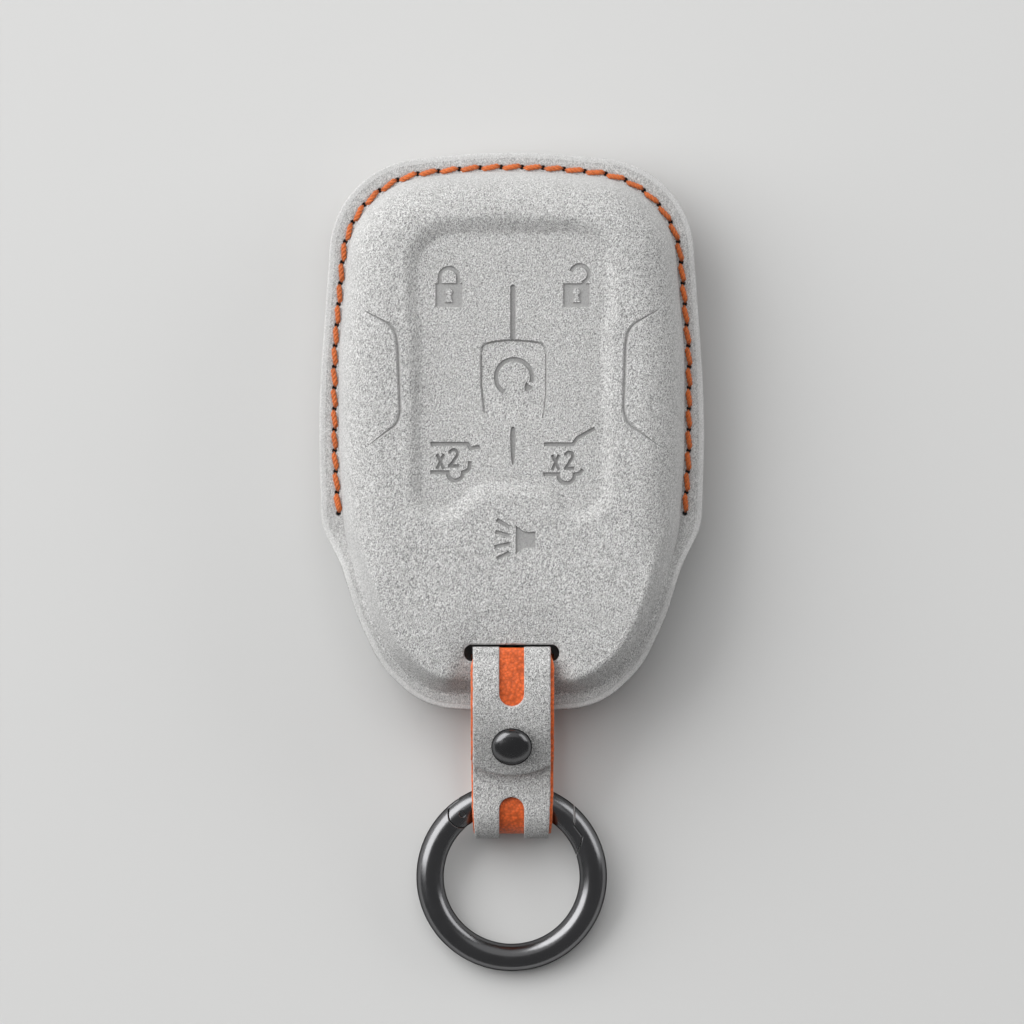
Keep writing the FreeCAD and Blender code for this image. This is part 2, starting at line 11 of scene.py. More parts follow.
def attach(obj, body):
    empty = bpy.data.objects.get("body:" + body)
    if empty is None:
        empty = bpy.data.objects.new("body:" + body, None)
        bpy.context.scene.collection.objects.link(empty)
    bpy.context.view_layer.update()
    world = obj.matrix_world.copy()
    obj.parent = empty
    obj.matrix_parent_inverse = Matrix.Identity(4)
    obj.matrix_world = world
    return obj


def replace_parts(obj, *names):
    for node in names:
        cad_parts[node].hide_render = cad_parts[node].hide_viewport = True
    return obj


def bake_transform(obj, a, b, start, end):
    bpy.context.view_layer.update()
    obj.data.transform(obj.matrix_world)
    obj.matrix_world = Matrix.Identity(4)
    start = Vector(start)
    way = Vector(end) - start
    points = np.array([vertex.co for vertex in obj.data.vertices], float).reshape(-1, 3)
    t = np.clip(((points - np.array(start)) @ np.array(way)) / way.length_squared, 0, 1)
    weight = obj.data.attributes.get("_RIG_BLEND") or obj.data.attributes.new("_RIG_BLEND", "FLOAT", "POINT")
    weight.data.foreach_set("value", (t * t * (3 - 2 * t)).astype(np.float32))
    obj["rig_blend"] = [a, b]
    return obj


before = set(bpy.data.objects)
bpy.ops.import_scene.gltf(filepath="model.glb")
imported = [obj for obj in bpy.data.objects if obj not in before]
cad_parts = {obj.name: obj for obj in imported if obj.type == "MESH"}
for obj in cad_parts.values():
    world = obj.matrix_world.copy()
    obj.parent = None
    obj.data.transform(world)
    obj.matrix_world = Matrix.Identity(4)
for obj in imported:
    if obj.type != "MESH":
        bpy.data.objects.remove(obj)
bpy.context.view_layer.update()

# Sizes are in millimetres, in the frame of the solids. make_piece turns them into metres.
scene = bpy.context.scene
millimetre = 0.001
weld_gap, thin_gap, merge_gap = 0.004, 0.001, 1e-5
sliver, far_off = 0.001, 1e9
grow_miter, stroke_miter = 0.5, 0.8
sharp_angle, thread_sharp_angle = math.radians(38), math.radians(70)

# Photograph: places of small marks are pixels of it, turned into millimetres by at()
photo_axis, photo_middle, photo_scale = 511.7, 431.7, 0.157

# Cover outline: shares of its half sizes from the bottom up, each with its corner radius
half_width, half_length = 30.2, 43.9
outline_corners = [
    (0, -1.001, 60), (0.460, -0.982, 13), (0.682, -0.834, 16), (0.801, -0.661, 35), (0.884, -0.478, 14),
    (0.985, -0.333, 9), (1.004, 0.068, 170), (0.914, 0.948, 15), (0, 1.009, 100),
]
dome_half_width, dome_top, dome_bottom = 26.65, 41.1, 41.6
dome_corners = [
    (0, -1, 60), (0.469, -0.986, 10.7), (0.713, -0.865, 13.7), (0.859, -0.680, 32.7), (0.985, -0.373, 25),
    (1.015, -0.084, 60), (1.017, 0.298, 60), (0.930, 0.942, 13.8), (0, 1.010, 100),
]
seam_z, flange_thickness, suede_thickness = 9.2, 1.6, 1.0
mouth_lift, lift_start, lift_run = 2.4, -13.5, 11.0
roll_radius, roll_most, side_roll, strap_side, strap_run = 30.0, 0.98, 0.25, 6.8, 4.0
soft_width = 0.4
smooth_low, smooth_run = -32.0, 14.0
smooth_turns, smooth_shares = (0, 0.5, 0.9), (0.85, 0.6, 0)
front_height, front_shoulder, front_roll_start = 10.4, 7.0, -26.0
rear_height, rear_shoulder, rear_roll_start = 9.2, 5.5, -24.0
wall_turn, wall_rings = math.radians(58), 15
loop_spacing, curve_spacing = 0.5, 0.3

# Sunk panel of the front face and dip above the slot, as corners of their right halves from the bottom up
panel_corners = [
    (0, -9.0, 0.1), (5.2, -9.0, 4.4), (9.1, -13.2, 3.2), (15.2, -13.2, 4.4), (15.2, 16.2, 3.0),
    (15.9, 19.4, 3.0), (15.9, 32.5, 7.0), (0, 32.5, 0.1),
]
panel_depth, panel_wall, panel_top_wall, panel_top_y = 1.25, 2.3, 3.0, 27.0
dip_corners = [(0, -33.2, 0.1), (7.2, -33.2, 0.8), (5.6, -28.2, 1.4), (0, -28.2, 0.1)]
dip_depth, dip_wall = 0.2, 2.0
coarse_grid, fine_grid, panel_reach, dip_reach = 0.95, 0.42, 2.0, 1.2
face_margin, sheet_margin = 0.3, 0.6

# Pressed marks: depths, widths of strokes in pixels, and how dark their floors are; floor values over 1 add
# painted shade
mark_wall, mark_depth, count_depth = 0.12, 0.32, 0.256
divider_depth, tile_depth, score_depth = 0.35, 0.3, 0.15
mark_stroke, ray_stroke, count_stroke, turn_stroke, divider_stroke = 3.6, 3.24, 2.9, 4.0, 5.0
lock_floor, turn_floor, hatch_floor, count_floor = 1.06, 1.2, 1.25, 1.45
horn_floor, divider_floor, score_floor = 1.15, 1.2, 0.75
keyhole_radius, keyhole_half, keyhole_drop = 3.5, 3.7, 10.6
tile_corner, tile_score, score_spacing, tile_end, tile_fade = 0.5, 0.26, 0.4, 424, 28

# Grooves at the sides of the face, in pixels, with the bend at each corner
groove_left = [
    (361, 308.5), (390.5, 324.6), (396.2, 332.5), (398.6, 345), (400.9, 412), (397.5, 424), (366, 446.8),
]
groove_right = [
    (663, 306.5), (633, 324.6), (627.6, 332.5), (625.4, 345), (623.5, 411), (628, 423.5), (661, 447),
]
groove_bends = [0, 3.2, 3, 6, 4, 2.4, 0]
groove_half, groove_depth, groove_taper, groove_least = 0.42, 0.4, 4.2, 0.12

# Slot for the strap
slot_edge, slot_height, slot_width, slot_corner, slot_soft = -33.22, 2.6, 14.9, 1.2, 0.22

# Flange: edge band, stitch line and holes
band_width, band_step, band_drop, edge_round, rim_step = 0.78, 0.12, 0.14, 0.32, 0.1
# The flange is darkened by the last of these: flattened suede, and painted shade at the foot of the dome wall
band_margin, band_smooth, flange_smooth, flange_press_and_shade = 0.02, 1.0, 0.3, 0.5
flange_rows, rim_margin, foot_margin = np.arange(1.3, 3.6, 0.28), 0.2, 0.15
crease_depth, crease_half = 0.015, 0.2
stitch_outset, stitch_end, stitch_pitch = 0.68, -12.48, 3.3
channel_reach, channel_depth = 0.6, 0.22
# Stitch pits within pit_share of a hole's radius are marked with pit_dark, which paints them in deep shade
hole_radius, hole_depth, hole_steps, hole_floor, pit_share, pit_dark = 0.44, 0.6, 12, 0.7, 0.85, 2.0
core_insets, lining_insets, lining_levels, lining_step = (1.02, 1.58), (1.62, 2.2), (1.0, 1.6), 0.4

# Thread: three twisted strands
strand_radius, strand_helix, strand_pitch, strand_count = 0.235, 0.205, 2.0, 3
stitch_rise, stitch_dive, stitch_slant, stitch_short = 0.3, 0.9, 0.24, 0.27
stitch_trim, stitch_power, stitch_phase, last_bulge = 0.02, 4, 1.7, 1.3
# Strands get painted shade towards the thread's axis, where they meet
strand_steps, strand_sides, strand_taper, crevice_shade_reach, crevice_shade_fade = 22, 8, 0.35, 0.7, 0.9

# Strap: routes of the joint between its two layers, in Y and Z, with the bend at each corner
tip_y, tip_z, top_z, slot_y, rise_y, inside_z, back_z = -53.3, 12.934, 19.05, -33.6, -34.7, 10.0, 0.75
far_y = -62.9
tongue_points = [(tip_y, tip_z), (-43.883, top_z), (slot_y, top_z), (rise_y, inside_z)]
tongue_bends = [0, 16, 0.6, 0]
thin_start, thin_end, thin_share = -37.5, -34.8, 0.18
loop_points = [
    (rise_y, inside_z), (rise_y, back_z), (far_y, back_z), (far_y, 9.677), (-53.3, 11.027), (-44.857, 16.51),
    (-42.383, 17.081),
]
loop_bends = [0, 2.4, 4.776, 4.776, 4.0, 14.4, 0]
layer_thickness, suede_half, tongue_liner_half, loop_liner_half = 0.75, 6.08, 6.58, 6.44
liner_shift, liner_taper = 0.12, 0.012
slot_draw, slot_draw_y, slot_draw_run = 0.085, -36.8, 2.4
fold_narrow, fold_reach = 0.35, 6.0
tongue_round, tip_steps, cutout_half, bow_steps = 10.5, 25, 1.95, 13
upper_cutout_y, upper_cutout_rest, lower_cutout_y = -42.8, 3.0, -57.0
stud_run, stud_hole, stud_turn, stud_steps = 6.75, 1.7, 175, 30
slit_length, slit_half = 4.2, 0.15
screw_y, screw_hole, screw_steps = -46.76, 0.95, 24
edge_soft, edge_share, edge_smooth = 0.14, 0.3, np.array([1.0, 1.0, 0.7, 0.2])
edge_wobble, edge_waves = 0.028, [(0.5, 1.3, 1.7), (0.6, 4.3, 2.1), (0.5, 8.9, 1.0)]
route_spacing, edge_spacing, cut_spacing, strap_grid, strap_margin = 0.2, 0.5, 0.4, 0.55, 0.25
blend_start, blend_end = (0, -0.0355, 0.01905), (0, -0.0390, 0.01905)


def at(x, y):
    """Place of a photograph's pixel on the front face."""
    return (x - photo_axis) * photo_scale, (photo_middle - y) * photo_scale


def pixels(*places):
    return np.array([at(x, y) for x, y in places])


def eased(t):
    t = np.clip(t, 0, 1)
    return t * t * (3 - 2 * t)


def unit(v):
    return v / norm(v)


def left_of(v):
    return np.array([-v[1], v[0]])


def units(rows):
    return rows / norm(rows, axis=1)[:, None]


def run_along(line):
    """Length along a line up to each of its points."""
    return np.concatenate([[0], np.cumsum(norm(np.diff(line, axis=0), axis=1))])


def sampled(stops, run, rows):
    """Each column of rows at stops along a run."""
    return [np.interp(stops, run, column) for column in rows.T]


def rounded(points, radii, closed, spacing):
    """Points along a route with rounded corners, and the normals to its left."""
    points = np.asarray(points, float)
    count = len(points)
    stops = []
    for i in range(count) if closed else range(1, count - 1):
        before = unit(points[i] - points[i - 1])
        after = unit(points[(i + 1) % count] - points[i])
        turn = math.atan2(before[0] * after[1] - before[1] * after[0], before @ after)
        bend = math.copysign(radii[i], turn)
        side = left_of(before)
        centre = points[i] - before * radii[i] * math.tan(abs(turn) / 2) + side * bend
        angles = np.linspace(0, turn, max(1, math.ceil(abs(turn) * radii[i] / spacing)) + 1)
        cosines, sines = np.cos(angles), np.sin(angles)
        spokes = np.stack([side[0] * cosines - side[1] * sines, side[0] * sines + side[1] * cosines], 1)
        stops.append((centre - bend * spokes, spokes))
    if not closed:
        stops.insert(0, (points[:1], left_of(unit(points[1] - points[0]))[None]))
        stops.append((points[-1:], left_of(unit(points[-1] - points[-2]))[None]))
    places, normals = [], []
    for i, (place, normal) in enumerate(stops):
        places.append(place)
        normals.append(normal)
        if closed or i + 1 < len(stops):
            gap = stops[(i + 1) % len(stops)][0][0] - place[-1]
            steps = math.ceil(norm(gap) / spacing)
            shares = np.arange(1, steps)[:, None] / max(steps, 1)
            places.append(place[-1] + gap * shares)
            normals.append(np.repeat(normal[-1:], len(shares), 0))
    places, normals = np.concatenate(places), np.concatenate(normals)
    gaps = norm(np.roll(places, -1, 0) - places, axis=1)
    if not closed:
        gaps[-1] = 1
    return places[gaps > weld_gap], normals[gaps > weld_gap]


def both_sides(corners, width, top, bottom, spacing):
    """Closed loop from the corners of its right half, anticlockwise from the bottom."""
    right = [(x * width, y * (top if y > 0 else bottom), r) for x, y, r in corners]
    every = right + [(-x, y, r) for x, y, r in right[-2:0:-1]]
    return rounded([c[:2] for c in every], [c[2] for c in every], True, spacing)


def anticlockwise(loop):
    ahead = np.roll(loop, -1, 0)
    area = (loop[:, 0] * ahead[:, 1] - loop[:, 1] * ahead[:, 0]).sum()
    return loop if area > 0 else loop[::-1]


def grow(loop, amount):
    """Closed anticlockwise loop with its edges moved outwards."""
    before = units(loop - np.roll(loop, 1, 0))
    after = units(np.roll(loop, -1, 0) - loop)
    out = np.stack([before[:, 1] + after[:, 1], -before[:, 0] - after[:, 0]], 1)
    square = (out * out).sum(1)[:, None]
    return loop + out * (2 * amount / np.maximum(square, grow_miter))


def inside(places, loop):
    """Which places lie inside a closed loop."""
    x, y = places[:, 0], places[:, 1]
    crossings = np.zeros(len(places), int)
    near = np.where((y > loop[:, 1].min()) & (y < loop[:, 1].max()))[0]
    x, y = x[near], y[near]
    for (ax, ay), (bx, by) in zip(loop, np.roll(loop, -1, 0)):
        if ay != by:
            crossings[near] += ((ay > y) != (by > y)) & (x < (bx - ax) * (y - ay) / (by - ay) + ax)
    return crossings % 2 == 1


def between(outer, cuts):
    """Test of which places lie inside an outer loop and outside its cuts."""

    def test(places):
        found = inside(places, outer)
        for cut in cuts:
            found &= ~inside(places, cut)
        return found

    return test


def gap_to(places, line, closed):
    """Distance from each place to a line, and how far along the line the nearest point is, as a share."""
    best = np.full(len(places), far_off)
    share = np.zeros(len(places))
    ends = np.roll(line, -1, 0) if closed else line[1:]
    for i, (a, b) in enumerate(zip(line, ends)):
        run = b - a
        t = np.clip(((places - a) @ run) / (run @ run), 0, 1)
        away = norm(places - a - t[:, None] * run, axis=1)
        closer = away < best
        best[closer] = away[closer]
        share[closer] = (i + t[closer]) / len(ends)
    return best, share


def depth_in(places, loop):
    """Distance to a loop, positive inside it."""
    return gap_to(places, loop, True)[0] * np.where(inside(places, loop), 1, -1)


def triangulate(loops, lines, places, keep):
    """Triangles between closed loops, with lines kept as edges and places added inside."""
    corners, edges = [], []
    for line, closed in [(l, True) for l in loops] + [(l, False) for l in lines]:
        first, count = len(corners), len(line)
        corners += [Vector(p) for p in line]
        edges += [(first + i, first + (i + 1) % count) for i in range(count if closed else count - 1)]
    corners += [Vector(p) for p in places]
    found = delaunay_2d_cdt(corners, edges, [], 0, merge_gap)
    flat = np.array([v[:] for v in found[0]])
    faces = np.array([f for f in found[2] if len(f) == 3])
    drawn_edges = {tuple(sorted(e)) for e, source in zip(found[1], found[4]) if source}

    # Regions between the drawn edges are kept or left as a whole, by the middle of their largest triangle
    region = list(range(len(faces)))

    def root(i):
        while region[i] != i:
            region[i] = region[region[i]]
            i = region[i]
        return i

    met = {}
    for i, (a, b, c) in enumerate(faces.tolist()):
        for edge in (tuple(sorted(e)) for e in ((a, b), (b, c), (c, a))):
            if edge not in drawn_edges:
                region[root(i)] = root(met.setdefault(edge, i))
    roots = np.array([root(i) for i in range(len(faces))])
    a, b, c = (flat[faces[:, k]] for k in range(3))
    area = abs((b - a)[:, 0] * (c - a)[:, 1] - (b - a)[:, 1] * (c - a)[:, 0])
    order = np.argsort(area)
    largest = dict(zip(roots[order].tolist(), order.tolist()))
    longest = np.max([((p - q) ** 2).sum(1) for p, q in ((a, b), (b, c), (c, a))], 0)
    names = np.array([n for n in sorted(largest) if area[largest[n]] > sliver * longest[largest[n]]])
    wanted = names[keep(flat[faces[[largest[n] for n in names]]].mean(1))]
    return flat, faces[np.isin(roots, wanted)]


def grid(loop, spacing):
    """Even places over the box of a loop, in staggered rows."""
    low, high = loop.min(0), loop.max(0)
    row = spacing * math.sqrt(3) / 2
    found = []
    for k, y in enumerate(np.arange(low[1], high[1], row)):
        xs = np.arange(low[0] + (k % 2) * spacing / 2, high[0], spacing)
        found.append(np.stack([xs, np.full(len(xs), y)], 1))
    return np.concatenate(found)


class Shell:
    """Points and faces of one piece, with a value of each attribute at each point."""

    # The first attribute darkens: flattened floors, and painted shade in stitch pits, thin strokes and thread
    # crevices
    attributes = ("pressed", "smooth")

    def __init__(self):
        self.points, self.faces, self.values, self.count = [], [], {a: [] for a in self.attributes}, 0

    def add(self, points, faces, **values):
        self.points.append(points)
        self.faces += [tuple(int(i) + self.count for i in f) for f in faces]
        for name in self.attributes:
            self.values[name].append(np.broadcast_to(values.get(name, 0.0), len(points)))
        self.count += len(points)

    def rings(self, rings, each=False, **values):
        """Strips between closed rings of equal counts. Values are one for a ring, or one for each point."""
        count = len(rings[0])
        low = np.arange((len(rings) - 1) * count)
        after = low - low % count + (low + 1) % count
        faces = np.stack([low, after, after + count, low + count], 1)
        laid = {n: np.repeat(v, count) if np.ndim(v) and not each else v for n, v in values.items()}
        self.add(np.concatenate(rings), faces, **laid)


def placed(name, data):
    made = bpy.data.objects.new(name, data)
    scene.collection.objects.link(made)
    return made


def make_piece(name, shell, material, sharp=sharp_angle):
    """Mesh object from a shell, welded, with its faces turned outwards."""
    mesh = bpy.data.meshes.new(name)
    mesh.from_pydata((np.concatenate(shell.points) * millimetre).tolist(), [], shell.faces)
    for attribute in shell.attributes:
        layer = mesh.attributes.new(attribute, "FLOAT", "POINT")
        layer.data.foreach_set("value", np.concatenate(shell.values[attribute]).astype(np.float32))
    work = bmesh.new()
    work.from_mesh(mesh)
    bmesh.ops.remove_doubles(work, verts=work.verts, dist=weld_gap * millimetre)
    bmesh.ops.dissolve_degenerate(work, edges=work.edges, dist=thin_gap * millimetre)
    bmesh.ops.recalc_face_normals(work, faces=work.faces)
    work.to_mesh(mesh)
    work.free()
    mesh.shade_smooth()
    mesh.set_sharp_from_angle(angle=sharp)
    mesh.materials.append(material)
    piece = placed(name, mesh)
    return piece


# Materials: scales of noise are per metre, depths of bumps and worn edges in metres
noise_low, noise_high = 0.3, 0.7
nap_lean, nap_stretch, nap_scale, tuft_scale, nap_cloud = math.radians(68), 1.5, 6600, 3000, 110
nap_share, tuft_share, nap_low, nap_high, nap_dark, nap_light = 0.7, 0.3, 0.36, 0.64, 0.42, 1.58
flat_grain, flat_bump, flat_roughness, nap_roughness = 0.3, 0.15, 0.7, 0.95
# Darkening of the suede: flattened floors by pressed_shade, and painted shade from a value of 1 up to
# pit_shade at 2
pressed_shade, pit_shade, smooth_shade = 0.76, 0.08, 1.06
suede_colour, suede_bump = (0.52, 0.517, 0.51), 0.00026
fine_grain, cloud_grain, pebble_share, fine_share, pebble_low, pebble_high = 2.6, 0.22, -0.7, 0.5, -0.35, 0.2
# The last of these is how dark the painted shade between the strands is
fibre_scale, fibre_cloud, strand_crevice_shade = 5200, 420, 0.3
thread_colour, thread_bump = (0.63, 0.145, 0.028), 0.00009
polish_scale, polish_cloud, polish_bump, edge_wear, dark_rim_reflection = 700, 90, 0.000012, 0.00025, 0.1


def nodes_of(name):
    material = bpy.data.materials.new(name)
    material.use_nodes = True
    tree = material.node_tree
    return material, tree, tree.nodes["Principled BSDF"]


def node(tree, kind, links=(), **settings):
    """New node with its inputs set or linked: links are (input, value or output socket)."""
    made = tree.nodes.new("ShaderNode" + kind)
    for key, value in settings.items():
        setattr(made, key, value)
    for key, value in links:
        if isinstance(value, bpy.types.NodeSocket):
            tree.links.new(value, made.inputs[key])
        else:
            made.inputs[key].default_value = value
    return made


def finished(tree, shader, colour, normal, roughness, **uniform):
    """Link what varies over the surface to its shader, and set what is the same all over it."""
    for key, value in (("Base Color", colour), ("Normal", normal), ("Roughness", roughness)):
        tree.links.new(value, shader.inputs[key])
    for key, value in uniform.items():
        shader.inputs[key.replace("_", " ")].default_value = value


def object_place(tree):
    return node(tree, "TexCoord").outputs["Object"]


def noise(tree, place, scale, detail, roughness, distortion=0.0):
    links = [("Vector", place), ("Scale", scale), ("Detail", detail), ("Roughness", roughness)]
    return node(tree, "TexNoise", links + [("Distortion", distortion)]).outputs["Fac"]


def maths(tree, operation, a, b):
    return node(tree, "Math", [(0, a), (1, b)], operation=operation).outputs[0]


def multiply(tree, product, *factors):
    for factor in factors:
        product = maths(tree, "MULTIPLY", product, factor)
    return product


def add(tree, a, b):
    return maths(tree, "ADD", a, b)


def ramp(tree, value, low, high, to_low, to_high):
    links = [("Value", value), ("From Min", low), ("From Max", high), ("To Min", to_low), ("To Max", to_high)]
    return node(tree, "MapRange", links).outputs["Result"]


def spread(tree, value, low, high):
    """Noise turned into a range."""
    return ramp(tree, value, noise_low, noise_high, low, high)


def cloudy(tree, place, scale, low, high):
    """Slow change of brightness from place to place."""
    return spread(tree, noise(tree, place, scale, detail=3, roughness=0.5), low, high)


def faded(tree, value, end):
    """From 1 where the value is 0 to an end where it is 1."""
    return ramp(tree, value, 0, 1, 1, end)


def tinted(tree, colour, factor):
    """A colour times a varying brightness."""
    scaled = node(tree, "VectorMath", [(0, colour), ("Scale", factor)], operation="SCALE")
    return scaled.outputs["Vector"]


def attribute(tree, name):
    return node(tree, "Attribute", attribute_name=name).outputs["Fac"]


def bump(tree, height, distance, strength):
    links = [("Height", height), ("Distance", distance), ("Strength", strength)]
    return node(tree, "Bump", links).outputs["Normal"]


def suede_material():
    """Brushed nap. The attribute pressed is 1 on a flattened floor and 2 in a stitch pit; above 1 it adds
    painted shade, up to near black in the pits.
    """
    material, tree, shader = nodes_of("suede_grey")
    place = object_place(tree)
    lean = [("Vector", place), ("Rotation", (0, 0, nap_lean)), ("Scale", (nap_stretch, 1, 1))]
    brushed = node(tree, "Mapping", lean, vector_type="TEXTURE").outputs["Vector"]
    nap = noise(tree, brushed, nap_scale, detail=1, roughness=0.5, distortion=0.4)
    tuft = noise(tree, brushed, tuft_scale, detail=2, roughness=0.55, distortion=0.6)
    pressed, smooth = attribute(tree, "pressed"), attribute(tree, "smooth")
    rough = add(tree, multiply(tree, nap, nap_share), multiply(tree, tuft, tuft_share))
    flat = maths(tree, "MAXIMUM", pressed, smooth)
    grain = maths(tree, "SUBTRACT", ramp(tree, rough, nap_low, nap_high, nap_dark, nap_light), 1.0)
    # Flattened floors darken a little; the ramp from 1 to 2 paints shade in thin strokes and stitch pits
    shade = multiply(
        tree, add(tree, multiply(tree, grain, faded(tree, flat, flat_grain)), 1.0),
        cloudy(tree, place, nap_cloud, 0.97, 1.03), faded(tree, pressed, pressed_shade),
        ramp(tree, pressed, 1, 2, 1, pit_shade), faded(tree, smooth, smooth_shade),
    )
    height = multiply(tree, rough, faded(tree, flat, flat_bump))
    finished(
        tree, shader, tinted(tree, suede_colour, shade), bump(tree, height, suede_bump, 1.0),
        ramp(tree, flat, 0, 1, nap_roughness, flat_roughness),
        Specular_IOR_Level=0.25, Sheen_Weight=0.12, Sheen_Roughness=0.5,
    )
    return material


def leather_material(name, colour, cut, dark, light, grain, depth, roughness, shine=0.5):
    """Smooth leather with a pebbled grain, and another colour on its cut edges."""
    material, tree, shader = nodes_of(name)
    place = object_place(tree)
    pebble = node(tree, "TexVoronoi", [("Vector", place), ("Scale", grain)], feature="F1").outputs["Distance"]
    fine = noise(tree, place, grain * fine_grain, detail=4, roughness=0.6)
    height = add(tree, multiply(tree, pebble, pebble_share), multiply(tree, fine, fine_share))
    shade = ramp(tree, height, pebble_low, pebble_high, dark, light)
    shade = multiply(tree, shade, cloudy(tree, place, grain * cloud_grain, 0.92, 1.08))
    raw = multiply(tree, attribute(tree, "smooth"), ramp(tree, fine, 0.3, 0.6, 0.2, 0.7))
    mixed = node(tree, "Mix", data_type="RGBA")
    sockets = {s.identifier: s for s in [*mixed.inputs, *mixed.outputs]}
    tree.links.new(raw, sockets["Factor_Float"])
    tree.links.new(tinted(tree, colour, shade), sockets["A_Color"])
    sockets["B_Color"].default_value = (*cut, 1)
    finished(
        tree, shader, sockets["Result_Color"], bump(tree, height, depth, 0.9),
        spread(tree, fine, roughness - 0.08, roughness + 0.1), Specular_IOR_Level=shine,
    )
    return material


def thread_material():
    material, tree, shader = nodes_of("thread_orange")
    place = object_place(tree)
    fibre = noise(tree, place, fibre_scale, detail=4, roughness=0.65, distortion=1.2)
    # The attribute paints shade between the strands
    shade = multiply(
        tree, spread(tree, fibre, 0.66, 1.26), cloudy(tree, place, fibre_cloud, 0.88, 1.12),
        faded(tree, attribute(tree, "pressed"), strand_crevice_shade),
    )
    finished(
        tree, shader, tinted(tree, thread_colour, shade), bump(tree, fibre, thread_bump, 0.8),
        spread(tree, fibre, 0.5, 0.7), Sheen_Weight=0.15,
    )
    return material


def metal_material(name, colour, dark, light, low_rough, high_rough):
    """Plated metal with fine polishing marks and worn edges."""
    material, tree, shader = nodes_of(name)
    place = object_place(tree)
    mark = noise(tree, place, polish_scale, detail=5, roughness=0.6)
    polish = bump(tree, mark, polish_bump, 0.5)
    worn_edge = node(tree, "Bevel", [("Radius", edge_wear)], samples=8)
    tree.links.new(worn_edge.outputs["Normal"], polish.node.inputs["Normal"])
    finished(
        tree, shader, tinted(tree, colour, cloudy(tree, place, polish_cloud, dark, light)), polish,
        spread(tree, mark, low_rough, high_rough),
        # Specular Tint darkens the metal's reflections towards its rims: painted dark reflection
        Metallic=1.0, Specular_Tint=(dark_rim_reflection, dark_rim_reflection, dark_rim_reflection, 1),
    )
    return material


suede = suede_material()
orange = leather_material(
    "liner_orange", colour=(0.76, 0.135, 0.03), cut=(0.72, 0.27, 0.15), dark=0.66, light=1.26, grain=2000,
    depth=0.00014, roughness=0.5,
)
# The lining is painted near black: painted shade inside the cavity and the slot
lining = leather_material(
    "lining_painted_shade", colour=(0.028, 0.028, 0.028), cut=(0.03, 0.03, 0.03), dark=0.85, light=1.12, grain=2200,
    depth=0.00008, roughness=0.8, shine=0.1,
)
core = leather_material(
    "core_sheet", colour=(0.2, 0.2, 0.2), cut=(0.2, 0.2, 0.2), dark=0.9, light=1.08, grain=1200,
    depth=0.00004, roughness=0.6,
)
thread = thread_material()
gunmetal = metal_material(
    "gunmetal_plate", (0.21, 0.21, 0.215), dark=0.92, light=1.08, low_rough=0.2, high_rough=0.26
)
ball_metal = metal_material(
    "gunmetal_ball", (0.15, 0.15, 0.153), dark=0.92, light=1.08, low_rough=0.22, high_rough=0.28
)
steel = metal_material("spring_wire", (0.5, 0.5, 0.52), dark=0.9, light=1.08, low_rough=0.25, high_rough=0.4)


# Cover halves
outline, outline_in = both_sides(outline_corners, half_width, half_length, half_length, loop_spacing)
dome, dome_in = both_sides(dome_corners, dome_half_width, dome_top, dome_bottom, loop_spacing)
panel = both_sides(panel_corners, 1, 1, 1, loop_spacing)[0]
dip = both_sides(dip_corners, 1, 1, 1, loop_spacing)[0]


def lift(y):
    return mouth_lift * eased((lift_start - y) / lift_run)


def stroke(path, width, round_ends=False):
    """Closed loop round a path."""
    path = np.asarray(path, float)
    runs = units(path[1:] - path[:-1])
    before, after = np.vstack([runs[:1], runs]), np.vstack([runs, runs[-1:]])
    side = np.stack([-before[:, 1] - after[:, 1], before[:, 0] + after[:, 0]], 1)
    side = side * (width / np.maximum((side * side).sum(1)[:, None], stroke_miter))
    left, right = path + side, (path - side)[::-1]
    if round_ends:
        turns = np.linspace(0, math.pi, 9)[1:-1, None]
        tip = path[-1] + np.cos(turns) * side[-1] + np.sin(turns) * runs[-1] * width / 2
        tail = path[0] - np.cos(turns) * side[0] - np.sin(turns) * runs[0] * width / 2
        return anticlockwise(np.concatenate([left, tip, right, tail]))
    return anticlockwise(np.concatenate([left, right]))


def arc(centre, radius, start, end, steps=28):
    angles = np.radians(np.linspace(start, end, steps))
    return np.stack([centre[0] + radius * np.cos(angles), centre[1] + radius * np.sin(angles)], 1)


def circle(centre, radius, steps):
    return arc(centre, radius, 0, 360 - 360 / steps, steps)


def softened(loop, times):
    """Closed loop with its corners cut off again and again."""
    for _ in range(times):
        ahead = np.roll(loop, -1, 0)
        loop = np.stack([0.75 * loop + 0.25 * ahead, 0.25 * loop + 0.75 * ahead], 1).reshape(-1, 2)
    return anticlockwise(loop)


